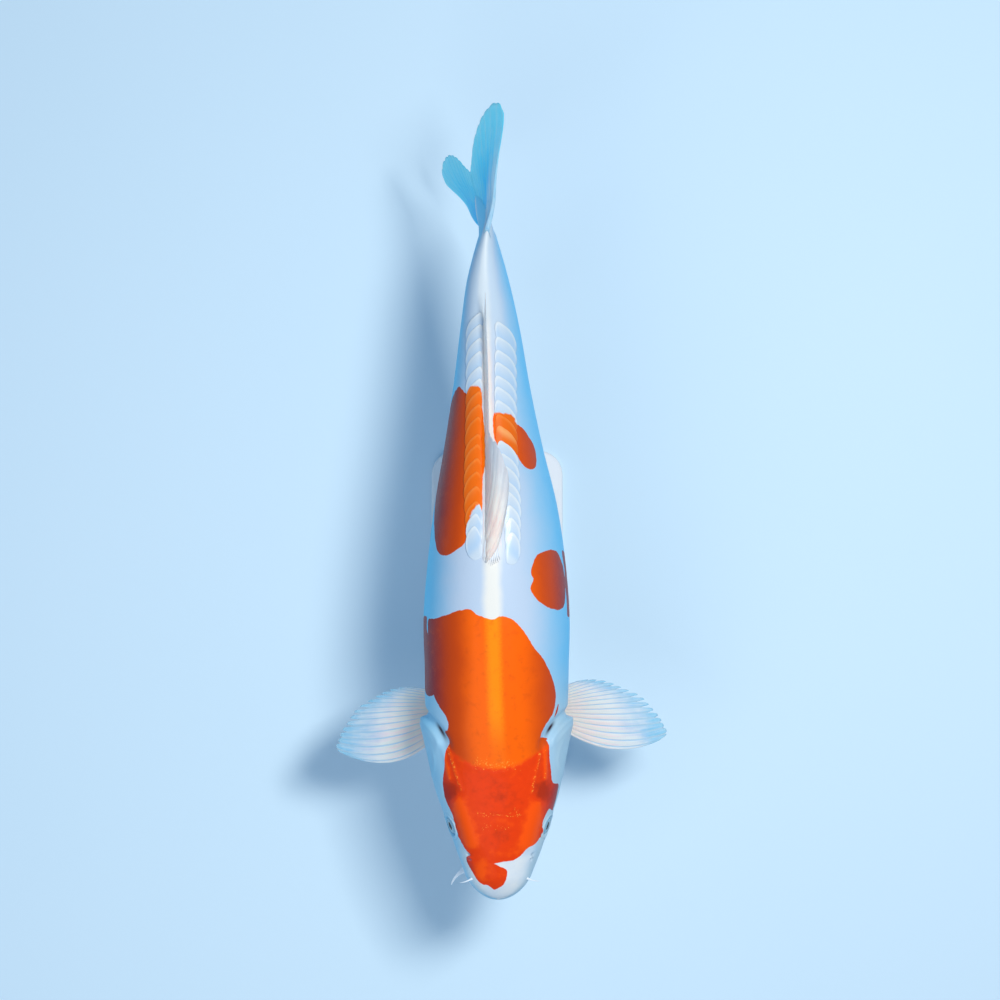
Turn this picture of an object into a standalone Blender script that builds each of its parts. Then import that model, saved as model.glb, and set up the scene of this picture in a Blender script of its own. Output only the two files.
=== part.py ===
"""Koi carp, life size and still, held by a plain display stand.

The fish swims towards -Y with its back to +Z, so its own left side is +X. The body is one lofted
form, described by a few stations from the snout to the root of the tail fin, and it is parted into
head, lower jaw, gill covers, trunk and tail stalk. Each fin is a fan of rays laid over the body.
The origin is at the middle of the underside of the stand's base. Units are metres.
"""

import math

import bmesh
import bpy
import numpy as np
from mathutils import Matrix, Vector

MM = 0.001
GAP = 0.3 * MM

# ---------------------------------------------------------------- driving dimensions
AXIS_HEIGHT = 180 * MM
SNOUT_Y = -245 * MM
NOSE_LENGTH = 22 * MM
HEAD_END = 150 * MM
TRUNK_END = 460 * MM
BODY_END = 582 * MM
RING_SIDES = 32
SNOUT_CROWDING = 1.7

# Body stations. Distances are millimetres and angles degrees: distance behind the snout, half
# width, height of the back and depth of the belly from the axis, sideways drift of the axis
# towards +X, roll of the back towards +X, and fullness of the section (2 is an ellipse).
STATIONS = np.array(
    [
        (0, 22.5, 17.0, 19.0, 1.0, 5.0, 2.15),
        (21, 29.0, 25.5, 25.0, 1.2, 4.5, 2.2),
        (47, 38.6, 37.0, 34.5, 1.5, 3.5, 2.3),
        (65, 44.3, 43.5, 40.0, 1.2, 2.0, 2.35),
        (100, 55.6, 54.0, 49.0, 0.3, 0.0, 2.3),
        (126, 59.5, 60.5, 55.0, 0.0, -1.3, 2.2),
        (157, 62.0, 68.0, 62.5, -0.4, -2.6, 2.15),
        (205, 63.2, 76.0, 71.5, -0.2, -3.8, 2.1),
        (245, 64.0, 80.5, 77.0, -0.3, -4.4, 2.1),
        (293, 60.5, 82.0, 80.0, -0.3, -4.8, 2.1),
        (345, 53.5, 77.0, 78.0, -1.0, -5.0, 2.1),
        (398, 42.5, 67.0, 69.5, -3.1, -5.2, 2.1),
        (451, 33.0, 54.0, 54.0, -4.7, -6.0, 2.1),
        (503, 25.2, 42.5, 39.0, -6.1, -7.0, 2.1),
        (545, 17.4, 36.0, 33.0, -7.9, -7.6, 2.0),
        (566, 12.0, 34.5, 32.3, -8.2, -7.8, 2.0),
        (582, 7.6, 34.0, 32.5, -8.4, -8.0, 2.0),
    ]
)
HALF_WIDTH, BACK, BELLY, DRIFT, ROLL, FULLNESS = range(1, 7)

# Mouth: side outline of the lower jaw, as distance behind the snout and height over the axis.
MOUTH_FRONT = (-1 * MM, -4 * MM)
MOUTH_CORNER = (26 * MM, -14.5 * MM)
JAW_REAR = (36 * MM, -60 * MM)
JAW_FRONT_REACH = -12 * MM

# Gill cover: an oval on the flank of the head. Its hind edge stands off the body.
GILL_ALONG = 127 * MM
GILL_HALF_LENGTH = 31 * MM
GILL_AROUND = math.radians(88)
GILL_HALF_SPREAD = math.radians(44)
GILL_FLARE = 6.6 * MM
GILL_FLARE_POWER = 1.6
GILL_THICKNESS = 4 * MM
GILL_STEPS = 11
GILL_CUTTER_PROUD = 6 * MM

EYE_ALONG = 65 * MM
EYE_AROUND = math.radians(72)
EYE_RADIUS = 10 * MM
EYE_PROUD = 2.4 * MM

BARBEL_SIDES_RESOLUTION = 1
LONG_BARBEL = {"along": 25 * MM, "around": math.radians(110), "length": 21 * MM, "radius": 1.8 * MM}
SHORT_BARBEL = {"along": 18.5 * MM, "around": math.radians(60), "length": 12 * MM, "radius": 1.0 * MM}
BARBEL_TIP_SHARE = 0.3
# How far each feeler leaves the lip outwards, and how it then bends: away from the middle, back, up.
BARBEL_LIES = {
    "long_left": (0.3, (0.0, 0.2, -0.8)),
    "long_right": (1.0, (0.1, -0.5, -0.5)),
    "short_left": (1.0, (0.5, 0.05, -0.45)),
    "short_right": (1.0, (0.45, -0.05, -0.45)),
}
BARBEL_POINTS = 7

FIN_THICKNESS = 1.2 * MM
FIN_CLEARANCE = 1.0 * MM

DORSAL_START = 296 * MM
DORSAL_END = 497 * MM
DORSAL_RAYS = 21
DORSAL_CURL = math.radians(14)
ANAL_START = 444 * MM
ANAL_END = 490 * MM
ANAL_RAYS = 8
ANAL_BOW = (0.06, -0.1, -0.12)
PELVIC_ALONG = 291 * MM
PELVIC_BASE = 10 * MM
PELVIC_DROP = 0.6
PELVIC_RAYS = 9
PECTORAL_ALONG = 155 * MM
PECTORAL_BASE = 22 * MM
PECTORAL_AROUND = math.radians(134)
PECTORAL_DROP = 3 * MM
PECTORAL_RAYS = 16
PECTORAL_SWING = {"left": math.radians(8), "right": 0.0}
PECTORAL_LEAD = {"left": 137, "right": 148}
PECTORAL_TRAIL = {"left": 55, "right": 59}
PECTORAL_HIND = {"left": 62, "right": 72}
TAIL_FORK = 55.5 * MM
UPPER_LOBE_TIP = (111 * MM, 70 * MM)
LOWER_LOBE_TIP = (64 * MM, 89 * MM)
TAIL_SWING = 0.27
TAIL_RAY_BEND = (0.45, 0.42)
TAIL_RAYS = 10
TAIL_FLESH_REACH = 34 * MM
TAIL_EDGE_HALF = 0.8 * MM
TAIL_ROOT_HALF = 5 * MM

BASE_WIDTH = 120 * MM
BASE_LENGTH = 300 * MM
BASE_THICKNESS = 12 * MM
BASE_CORNER = 22 * MM
BASE_EDGE = 2 * MM
ROD_RADIUS = 5 * MM
ROD_FOOT_RADIUS = 16 * MM
ROD_FOOT_HEIGHT = 4 * MM
ROD_EDGE = 1 * MM
ROD_FILLET = 2 * MM
ROD_STEPS = 24
ROD_SOCKET = 14 * MM
ROD_FRONT_ALONG = 160 * MM
ROD_REAR_ALONG = 345 * MM


# ---------------------------------------------------------------- the body's form
def smooth_through(at, places, values):
    """A value at any place: cubics through the given places, with the mean slope at each."""
    slopes = np.gradient(values, places)
    left = np.clip(np.searchsorted(places, at, side="right") - 1, 0, len(places) - 2)
    step = places[left + 1] - places[left]
    t = (at - places[left]) / step
    start = (1 + 2 * t) * (1 - t) ** 2 * values[left] + t * (1 - t) ** 2 * step * slopes[left]
    end = t**2 * (3 - 2 * t) * values[left + 1] - t**2 * (1 - t) * step * slopes[left + 1]
    return start + end


def station(column, along):
    """A station column at any distance along the body."""
    return smooth_through(along, STATIONS[:, 0] * MM, STATIONS[:, column])


def body_point(along, around):
    """A point of the body's surface.

    Around is 0 on the back, a quarter turn on the +X flank and a half turn on the belly.
    """
    along, around = np.broadcast_arrays(np.asarray(along, float), np.asarray(around, float))
    inside_nose = 1 - np.clip(along, 0, NOSE_LENGTH) / NOSE_LENGTH
    nose = np.sqrt(1 - inside_nose**2)
    power = 2 / station(FULLNESS, along)
    up = np.where(np.cos(around) > 0, station(BACK, along), station(BELLY, along)) * MM * nose
    half_width = station(HALF_WIDTH, along) * MM * nose
    side = half_width * np.sign(np.sin(around)) * np.abs(np.sin(around)) ** power
    rise = up * np.sign(np.cos(around)) * np.abs(np.cos(around)) ** power
    roll = np.radians(station(ROLL, along))
    x = station(DRIFT, along) * MM + side * np.cos(roll) + rise * np.sin(roll)
    z = AXIS_HEIGHT + rise * np.cos(roll) - side * np.sin(roll)
    return np.stack([x, SNOUT_Y + along, z], axis=-1)


def body_normal(along, around):
    """The outward direction at a point of the body, from the two tangents of the surface."""
    small = 0.5 * MM
    turn = 0.01
    lengthwise = body_point(along + small, around) - body_point(along - small, around)
    crosswise = body_point(along, around + turn) - body_point(along, around - turn)
    normal = np.cross(crosswise, lengthwise)
    return normal / np.linalg.norm(normal, axis=-1, keepdims=True)


# ---------------------------------------------------------------- making objects
def new_collection(name):
    collection = bpy.data.collections.new(name)
    bpy.context.scene.collection.children.link(collection)
    return collection


def material(name, colour, roughness, metallic=0.0):
    made = bpy.data.materials.new(name)
    made.use_nodes = True
    surface = made.node_tree.nodes["Principled BSDF"]
    surface.inputs["Base Color"].default_value = (*colour, 1)
    surface.inputs["Roughness"].default_value = roughness
    surface.inputs["Metallic"].default_value = metallic
    return made


def object_from(name, mesh_maker, finish=None):
    """A named object from a bmesh: a part when it has a finish, otherwise a cutter."""
    mesh = bpy.data.meshes.new(name)
    mesh_maker.to_mesh(mesh)
    mesh_maker.free()
    made = bpy.data.objects.new(name, mesh)
    if finish is None:
        made.hide_render = True
        made.display_type = "WIRE"
        cutters.objects.link(made)
    else:
        mesh.materials.append(finish)
        mesh.shade_smooth()
        mesh.set_sharp_from_angle(angle=math.radians(50))
        parts.objects.link(made)
    return made


def quads_between(form, rows, closed):
    """Faces between neighbouring rows of vertices, joined round into a tube when closed."""
    for lower, upper in zip(rows, rows[1:]):
        count = len(lower) if closed else len(lower) - 1
        for i in range(count):
            j = (i + 1) % len(lower)
            form.faces.new((lower[i], lower[j], upper[j], upper[i]))


def body_length(start, end, rings):
    """One closed length of the body. Its rings crowd towards the snout, where it ends in a point."""
    form = bmesh.new()
    share = np.linspace(0, 1, rings)
    if start == 0:
        share = (share**SNOUT_CROWDING)[1:]
    alongs = start + (end - start) * share
    arounds = -np.arange(RING_SIDES) * 2 * np.pi / RING_SIDES
    points = body_point(alongs[:, None], arounds[None, :])
    rows = [[form.verts.new(point) for point in ring] for ring in points]
    quads_between(form, rows, closed=True)
    if start == 0:
        tip = form.verts.new(body_point(0.0, 0.0))
        for i in range(RING_SIDES):
            form.faces.new((tip, rows[0][(i + 1) % RING_SIDES], rows[0][i]))
    else:
        form.faces.new(list(reversed(rows[0])))
    form.faces.new(rows[-1])
    bmesh.ops.recalc_face_normals(form, faces=form.faces)
    return form


def sheet(name, grid, finish):
    """A fin's open grid of points, given its thickness by Solidify, half to each side."""
    form = bmesh.new()
    rows = [[form.verts.new(point) for point in row] for row in grid]
    quads_between(form, rows, closed=False)
    made = object_from(name, form, finish)
    solidify = made.modifiers.new("thickness", "SOLIDIFY")
    solidify.thickness = FIN_THICKNESS
    solidify.offset = 0
    solidify.use_rim = True
    return made


def slab(name, outer, inner, finish=None):
    """A closed form between two grids of points, joined along their rims."""
    form = bmesh.new()
    for grid in (outer, inner):
        rows = [[form.verts.new(point) for point in row] for row in grid]
        quads_between(form, rows, closed=False)
    rims = [edge for edge in form.edges if edge.is_boundary]
    bmesh.ops.bridge_loops(form, edges=rims)
    bmesh.ops.recalc_face_normals(form, faces=form.faces)
    return object_from(name, form, finish)


def cut(piece, cutter, operation="DIFFERENCE"):
    boolean = piece.modifiers.new(cutter.name, "BOOLEAN")
    boolean.object = cutter
    boolean.operation = operation
    boolean.solver = "EXACT"


# ---------------------------------------------------------------- head
def gill_cover(name, side, finish=None):
    """The gill cover: an oval on the flank, standing off it more and more towards the hind edge.

    Without a finish it is the cutter that makes the room for it, a gap larger all round.
    """
    grow = 0 if finish else GAP
    proud = 0 if finish else GILL_CUTTER_PROUD
    square = np.linspace(-1, 1, GILL_STEPS)
    u, v = np.meshgrid(square, square)
    backward = u * np.sqrt(1 - v**2 / 2)
    downward = v * np.sqrt(1 - u**2 / 2)
    half_girth = station(HALF_WIDTH, GILL_ALONG) * MM
    along = GILL_ALONG + backward * (GILL_HALF_LENGTH + grow)
    around = side * (GILL_AROUND + downward * (GILL_HALF_SPREAD + grow / half_girth))
    surface = body_point(along, around)
    normal = body_normal(along, around)
    flare = GILL_FLARE * ((1 + backward) / 2) ** GILL_FLARE_POWER
    outer = surface + (flare + proud)[..., None] * normal
    inner = surface - (GILL_THICKNESS + grow) * normal
    return slab(name, outer, inner, finish)


def eye_centre(side):
    around = side * EYE_AROUND
    inward = EYE_RADIUS - EYE_PROUD
    return Vector(body_point(EYE_ALONG, around) - inward * body_normal(EYE_ALONG, around))


def ball(name, centre, radius, finish=None):
    form = bmesh.new()
    bmesh.ops.create_icosphere(form, subdivisions=3, radius=radius, matrix=Matrix.Translation(centre))
    return object_from(name, form, finish)


def jaw_block(name, shift):
    """The space of the lower jaw: its side outline carried right across the head."""
    corners = (
        (JAW_FRONT_REACH, MOUTH_FRONT[1]),
        MOUTH_FRONT,
        MOUTH_CORNER,
        JAW_REAR,
        (JAW_FRONT_REACH, JAW_REAR[1]),
    )
    across = station(HALF_WIDTH, EYE_ALONG) * MM
    form = bmesh.new()
    outline = [
        form.verts.new((-across, SNOUT_Y + along - shift, AXIS_HEIGHT + height - shift))
        for along, height in corners
    ]
    face = form.faces.new(outline)
    swept = bmesh.ops.extrude_face_region(form, geom=[face])["geom"]
    moved = [item for item in swept if isinstance(item, bmesh.types.BMVert)]
    bmesh.ops.translate(form, verts=moved, vec=(2 * across, 0, 0))
    bmesh.ops.recalc_face_normals(form, faces=form.faces)
    return object_from(name, form)


def make_head(flesh, gill_cutters, eye_sockets, rings=20):
    head = object_from("head", body_length(0, HEAD_END - GAP, rings), flesh)
    jaw = object_from("lower_jaw", body_length(0, HEAD_END - GAP, rings), flesh)
    cut(head, jaw_block("jaw_space", 0.0))
    cut(jaw, jaw_block("jaw_share", GAP), "INTERSECT")
    for cutter in gill_cutters + eye_sockets:
        cut(head, cutter)


def make_barbel(name, side, shape, lie, finish):
    """A feeler: a thin tapered cone that leaves the lip outwards and then bends."""
    spread, bend = lie
    root = body_point(shape["along"], side * shape["around"])
    outward = body_normal(shape["along"], side * shape["around"])
    t = np.linspace(0, 1, BARBEL_POINTS)[:, None]
    leaving = outward * spread * (t - 0.45 * t**2)
    drooping = np.array(bend) * np.array([side, 1, 1]) * t**1.6
    path = root + outward * (GAP + shape["radius"]) + shape["length"] * (leaving + drooping)
    curve = bpy.data.curves.new(name, "CURVE")
    curve.dimensions = "3D"
    curve.bevel_depth = shape["radius"]
    curve.bevel_resolution = BARBEL_SIDES_RESOLUTION
    curve.use_fill_caps = True
    spline = curve.splines.new("POLY")
    spline.points.add(len(path) - 1)
    for point, place, share in zip(spline.points, path, t[:, 0]):
        point.co = (*place, 1)
        point.radius = 1 - (1 - BARBEL_TIP_SHARE) * share
    curve.materials.append(finish)
    made = bpy.data.objects.new(name, curve)
    parts.objects.link(made)


# ---------------------------------------------------------------- fins
def ray_fan(bases, controls, tips, steps):
    """A grid over a fan of rays: quadratic curves from base to tip, bent towards a control point."""
    t = np.linspace(0, 1, steps)[None, :, None]
    return (1 - t) ** 2 * bases[:, None] + 2 * t * (1 - t) * controls[:, None] + t**2 * tips[:, None]


def through(at, *pairs):
    """A value that runs smoothly through (place, value) pairs."""
    places, values = np.array(pairs, float).T
    return smooth_through(at, places, values)


def leaning(rise, lean):
    """A direction that climbs from +Y by its rise and leans from +Z towards +X by its lean."""
    return np.stack([np.sin(rise) * np.sin(lean), np.cos(rise), np.sin(rise) * np.cos(lean)], axis=-1)


def make_dorsal_fin(finish, steps=5):
    """The long fin of the back, folded down: longest in front, leaning towards +X."""
    share = np.linspace(0, 1, DORSAL_RAYS)
    along = DORSAL_START + share * (DORSAL_END - DORSAL_START)
    bases = body_point(along, 0.0) + FIN_CLEARANCE * body_normal(along, np.zeros_like(along))
    length = MM * through(share, (0, 26), (0.05, 66), (0.1, 77), (0.2, 68), (0.35, 47), (0.6, 40), (1, 35))
    rake = np.radians(through(share, (0, 26), (0.05, 20), (1, 19)))
    lean = np.radians(through(share, (0, 67), (0.05, 50), (0.1, 33), (0.2, 18), (0.35, 11), (1, 4)))
    tips = bases + length[:, None] * leaning(rake, lean)
    controls = bases + 0.5 * length[:, None] * leaning(rake + DORSAL_CURL, 0.8 * lean)
    return sheet("dorsal_fin", ray_fan(bases, controls, tips, steps), finish)


def make_anal_fin(finish, steps=5):
    """The short fin under the tail stalk, swept back and swung towards -X."""
    share = np.linspace(0, 1, ANAL_RAYS)
    along = ANAL_START + share * (ANAL_END - ANAL_START)
    belly = np.full_like(along, np.pi)
    bases = body_point(along, belly) + FIN_CLEARANCE * body_normal(along, belly)
    length = MM * through(share, (0, 34), (0.15, 80), (0.3, 76), (1, 40))
    rake = np.radians(through(share, (0, 42), (1, 26)))
    lean = np.radians(through(share, (0, 32), (1, 24)))
    direction = leaning(-rake, lean)
    tips = bases + length[:, None] * direction
    controls = bases + 0.5 * length[:, None] * (direction + np.array(ANAL_BOW))
    return sheet("anal_fin", ray_fan(bases, controls, tips, steps), finish)


def outwards(side, turn, drop):
    """Directions turned from +Y towards one side by their turn, sinking by their drop."""
    sink = np.full(turn.shape, -drop)
    return np.stack([side * np.sin(turn), np.cos(turn), sink], axis=-1)


def make_pelvic_fin(name, side, finish, steps=5):
    """A hip fin: low on the belly, trailing back and down."""
    share = np.linspace(0, 1, PELVIC_RAYS)
    along = PELVIC_ALONG + share * PELVIC_BASE
    around = side * np.radians(through(share, (0, 148), (1, 160)))
    bases = body_point(along, around) + FIN_CLEARANCE * body_normal(along, around)
    length = MM * through(share, (0, 62), (0.2, 68), (0.7, 54), (1, 38))
    turn = np.radians(through(share, (0, 10), (1, -15)))
    tips = bases + length[:, None] * outwards(side, turn, PELVIC_DROP)
    controls = bases + 0.42 * length[:, None] * outwards(side, 1.8 * turn, PELVIC_DROP)
    return sheet(name, ray_fan(bases, controls, tips, steps), finish)


def make_pectoral_fin(word, side, finish, steps=8):
    """A breast fin, spread flat like an oar blade. Its rays aim from forwards at its front to backwards."""
    swing, lead, trail = PECTORAL_SWING[word], PECTORAL_LEAD[word], PECTORAL_TRAIL[word]
    share = np.linspace(0, 1, PECTORAL_RAYS)
    along = PECTORAL_ALONG + share * PECTORAL_BASE
    around = np.full(PECTORAL_RAYS, side * PECTORAL_AROUND)
    bases = body_point(along, around) + FIN_CLEARANCE * body_normal(along, around)
    reach = MM * through(share, (0, 101), (0.08, 106), (0.2, 101), (0.45, 88), (0.7, 65), (1, 34))
    aim = through(share, (0, 115), (0.08, 111), (0.33, 101), (0.55, 90), (0.7, 81), (1, trail))
    fan = through(share, (0, lead), (0.5, 92), (1, PECTORAL_HIND[word]))
    bend = reach * through(share, (0, 0.65), (0.4, 0.5), (1, 0.45))
    drop = np.array([0, 0, PECTORAL_DROP])
    tips = bases.mean(axis=0) - drop + reach[:, None] * outwards(side, np.radians(aim) - swing, 0)
    controls = bases - drop + bend[:, None] * outwards(side, np.radians(fan) - swing, 0)
    return sheet(f"pectoral_fin_{word}", ray_fan(bases, controls, tips, steps), finish)


def tail_swing(behind, height):
    """Sideways place of the tail fin: it swings towards -X, and twists its top back towards +X."""
    mm = behind / MM
    above = through(mm, (0, -0.14), (17, 0.24), (27, 0.31), (43, 0.37), (65, 0.46), (93, 0.55), (112, 0.56))
    below = through(mm, (0, -0.16), (8, -0.05), (15, 0.11), (32, 0.15), (54, 0.26), (77, 0.26))
    twist = np.where(height > 0, above, below)
    return station(DRIFT, BODY_END) * MM - TAIL_SWING * behind + twist * height


def make_tail_lobe(name, side, tip_behind, tip_height, finish, steps=8):
    """One lobe of the tail fin, above (side 1) or below (side -1) the fork. It is thick at its root."""
    share = np.linspace(0, 1, TAIL_RAYS)
    root_height = station(BACK if side > 0 else BELLY, BODY_END) * MM
    base_height = side * (GAP + 0.94 * root_height * share)
    tip_reach = math.hypot(tip_behind, tip_height)
    tip_turn = math.atan2(tip_height, tip_behind)
    growth = through(share, (0, 0), (0.2, 0.15), (0.4, 0.42), (0.7, 0.81), (0.88, 1), (1, 0.98))
    reach = TAIL_FORK + (tip_reach - TAIL_FORK) * growth
    turn = tip_turn * through(share, (0, 0), (0.4, 0.45), (0.7, 0.77), (0.88, 1), (1, 1.14))
    tip_height_at = side * (GAP + reach * np.sin(turn))
    base = np.stack([np.full(TAIL_RAYS, FIN_CLEARANCE), base_height], axis=-1)
    tip = np.stack([reach * np.cos(turn), tip_height_at], axis=-1)
    control = base + (tip - base) * np.array(TAIL_RAY_BEND)
    flat = ray_fan(base, control, tip, steps)
    behind = flat[..., 0]
    height = flat[..., 1]
    y = np.full_like(behind, SNOUT_Y + BODY_END) + behind
    grid = np.stack([tail_swing(behind, height), y, AXIS_HEIGHT + height], axis=-1)
    fleshy = np.clip(1 - behind / TAIL_FLESH_REACH, 0, 1) ** 1.5
    edge_share = np.clip(np.abs(height) / root_height, 0, 1)
    half = TAIL_EDGE_HALF + TAIL_ROOT_HALF * fleshy * np.sqrt(1 - edge_share**4)
    across = half[..., None] * np.array([1.0, 0.0, 0.0])
    return slab(name, grid + across, grid - across, finish)


# ---------------------------------------------------------------- stand
def make_base(finish):
    form = bmesh.new()
    bmesh.ops.create_cube(form, size=1.0)
    bmesh.ops.scale(form, vec=(BASE_WIDTH, BASE_LENGTH, BASE_THICKNESS), verts=form.verts)
    bmesh.ops.translate(form, vec=(0, 0, BASE_THICKNESS / 2), verts=form.verts)
    upright = [e for e in form.edges if abs(e.verts[0].co.z - e.verts[1].co.z) > BASE_THICKNESS / 2]
    bmesh.ops.bevel(form, geom=upright, offset=BASE_CORNER, segments=6, profile=0.5, affect="EDGES")
    rim = [e for e in form.edges if min(v.co.z for v in e.verts) > BASE_THICKNESS / 2]
    bmesh.ops.bevel(form, geom=rim, offset=BASE_EDGE, segments=2, profile=0.5, affect="EDGES")
    return object_from("stand_base", form, finish)


def belly_height(along):
    return float(body_point(along, np.pi)[2])


def make_rod(name, along, finish):
    """A turned steel rod with a round foot. Its top end sits in a blind hole in the belly."""
    foot = BASE_THICKNESS + GAP
    top = belly_height(along) + ROD_SOCKET - 2 * GAP
    shoulder = foot + ROD_FOOT_HEIGHT
    profile = (
        (0, top),
        (ROD_RADIUS - ROD_EDGE, top),
        (ROD_RADIUS, top - ROD_EDGE),
        (ROD_RADIUS, shoulder + ROD_FILLET),
        (ROD_RADIUS + ROD_FILLET, shoulder),
        (ROD_FOOT_RADIUS - ROD_EDGE, shoulder),
        (ROD_FOOT_RADIUS, shoulder - ROD_EDGE),
        (ROD_FOOT_RADIUS, foot),
        (0, foot),
    )
    form = bmesh.new()
    verts = [form.verts.new((x, 0, z)) for x, z in profile]
    for upper, lower in zip(verts, verts[1:]):
        form.edges.new((upper, lower))
    rod = object_from(name, form, finish)
    rod.location = (0, SNOUT_Y + along, 0)
    turned = rod.modifiers.new("turned", "SCREW")
    turned.steps = ROD_STEPS
    turned.render_steps = ROD_STEPS
    turned.use_merge_vertices = True
    turned.merge_threshold = 0.00001
    return rod


def rod_socket(name, along):
    form = bmesh.new()
    radius = ROD_RADIUS + GAP
    place = Matrix.Translation((0, SNOUT_Y + along, belly_height(along)))
    bmesh.ops.create_cone(
        form,
        cap_ends=True,
        segments=ROD_STEPS,
        radius1=radius,
        radius2=radius,
        depth=2 * ROD_SOCKET,
        matrix=place,
    )
    return object_from(name, form)


# ---------------------------------------------------------------- the whole model
for old in list(bpy.data.objects):
    bpy.data.objects.remove(old, do_unlink=True)

parts = new_collection("koi_carp")
cutters = new_collection("cutters")

white_skin = material("white_skin", (0.62, 0.70, 0.78), 0.3)
fin_skin = material("fin_skin", (0.66, 0.70, 0.74), 0.4)
eye_dark = material("eye_dark", (0.02, 0.02, 0.03), 0.05)
painted_base = material("painted_base", (0.75, 0.78, 0.80), 0.5)
steel = material("steel", (0.6, 0.6, 0.62), 0.25, metallic=1.0)

SIDES = (("left", 1), ("right", -1))

gill_cutters = [gill_cover(f"gill_space_{word}", side) for word, side in SIDES]
eye_sockets = [ball(f"eye_socket_{word}", eye_centre(side), EYE_RADIUS + GAP) for word, side in SIDES]
rod_sockets = [
    rod_socket("rod_socket_front", ROD_FRONT_ALONG),
    rod_socket("rod_socket_rear", ROD_REAR_ALONG),
]

make_head(white_skin, gill_cutters, eye_sockets)
trunk = object_from("trunk", body_length(HEAD_END, TRUNK_END - GAP, 15), white_skin)
for cutter in gill_cutters + rod_sockets:
    cut(trunk, cutter)
tail_stalk = object_from("tail_stalk", body_length(TRUNK_END, BODY_END, 8), white_skin)

for word, side in SIDES:
    gill_cover(f"gill_cover_{word}", side, white_skin)
    ball(f"eye_{word}", eye_centre(side), EYE_RADIUS, eye_dark)
    make_barbel(f"barbel_long_{word}", side, LONG_BARBEL, BARBEL_LIES[f"long_{word}"], white_skin)
    make_barbel(f"barbel_short_{word}", side, SHORT_BARBEL, BARBEL_LIES[f"short_{word}"], white_skin)
    make_pectoral_fin(word, side, fin_skin)
    make_pelvic_fin(f"pelvic_fin_{word}", side, fin_skin)
make_dorsal_fin(fin_skin)
make_anal_fin(fin_skin)
make_tail_lobe("tail_fin_upper", 1, *UPPER_LOBE_TIP, fin_skin)
make_tail_lobe("tail_fin_lower", -1, *LOWER_LOBE_TIP, fin_skin)

make_base(painted_base)
make_rod("stand_rod_front", ROD_FRONT_ALONG, steel)
make_rod("stand_rod_rear", ROD_REAR_ALONG, steel)
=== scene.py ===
# %% [markdown]
# # A koi carp on a display stand
#
# A grown koi without body scales, white with orange-red markings. It keeps one row of large mirror
# scales on each side of the dorsal fin. The model is still and life size. This script dresses the
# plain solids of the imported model: one skin for the whole body, fins with rays, scales, eyes,
# feelers, and better finishes for the stand.

# %% Load the frame
import math

import bpy
import numpy as np
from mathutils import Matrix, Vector


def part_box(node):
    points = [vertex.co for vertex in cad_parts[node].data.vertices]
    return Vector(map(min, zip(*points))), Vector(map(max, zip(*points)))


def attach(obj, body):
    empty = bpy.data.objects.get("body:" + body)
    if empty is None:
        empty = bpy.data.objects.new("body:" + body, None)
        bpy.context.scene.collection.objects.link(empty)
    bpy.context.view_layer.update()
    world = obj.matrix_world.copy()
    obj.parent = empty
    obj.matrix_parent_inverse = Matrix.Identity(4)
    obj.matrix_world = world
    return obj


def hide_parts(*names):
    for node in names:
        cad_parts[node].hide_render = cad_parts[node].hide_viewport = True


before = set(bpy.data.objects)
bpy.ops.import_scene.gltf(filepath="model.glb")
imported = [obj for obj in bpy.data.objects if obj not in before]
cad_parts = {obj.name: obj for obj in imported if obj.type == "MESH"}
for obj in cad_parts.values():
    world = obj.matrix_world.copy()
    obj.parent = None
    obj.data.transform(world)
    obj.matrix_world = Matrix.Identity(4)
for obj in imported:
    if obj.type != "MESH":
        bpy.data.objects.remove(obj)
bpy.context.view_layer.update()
MM = 0.001

# %% [markdown]
# ## The body's form
# The skin has to lie on the solids, so it uses the same description: a few stations from snout to
# tail root, with smooth curves between them. Each section is a fat ellipse with its own height
# above and below the axis. The form could be sculpted by hand. A formula is used because it gives
# every point two measures, its distance behind the snout and its turn round the body, and fins,
# scales and markings are all placed by these two. The snout and the height of the axis are
# measured on the solids.

# %% Body stations
SNOUT_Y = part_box("head")[0].y
AXIS_HEIGHT = (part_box("tail_fin_upper")[0].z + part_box("tail_fin_lower")[1].z) / 2
NOSE_LENGTH = 22 * MM
BODY_END = 582 * MM
ROOT_LENGTH = 42 * MM
SKIN_END = BODY_END + ROOT_LENGTH

# Distance behind the snout, half width, height of the back and depth of the belly (mm), drift of
# the axis towards +X (mm), roll of the back towards +X (degrees), fullness (2 is an ellipse).
STATIONS = np.array(
    [
        (0, 22.5, 17.0, 19.0, 1.0, 5.0, 2.15),
        (21, 29.0, 25.5, 25.0, 1.2, 4.5, 2.2),
        (47, 38.6, 37.0, 34.5, 1.5, 3.5, 2.3),
        (65, 44.3, 43.5, 40.0, 1.2, 2.0, 2.35),
        (100, 55.6, 54.0, 49.0, 0.3, 0.0, 2.3),
        (126, 59.5, 60.5, 55.0, 0.0, -1.3, 2.2),
        (157, 62.0, 68.0, 62.5, -0.4, -2.6, 2.15),
        (205, 63.2, 76.0, 71.5, -0.2, -3.8, 2.1),
        (245, 64.0, 80.5, 77.0, -0.3, -4.4, 2.1),
        (293, 60.5, 82.0, 80.0, -0.3, -4.8, 2.1),
        (345, 53.5, 77.0, 78.0, -1.0, -5.0, 2.1),
        (398, 42.5, 67.0, 69.5, -3.1, -5.2, 2.1),
        (451, 33.0, 54.0, 54.0, -4.7, -6.0, 2.1),
        (503, 25.2, 42.5, 39.0, -6.1, -7.0, 2.1),
        (545, 17.4, 36.0, 33.0, -7.9, -7.6, 2.0),
        (566, 12.0, 34.5, 32.3, -8.2, -5.0, 2.0),
        (582, 7.6, 34.0, 32.5, -8.4, -1.2, 2.0),
    ]
)
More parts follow.
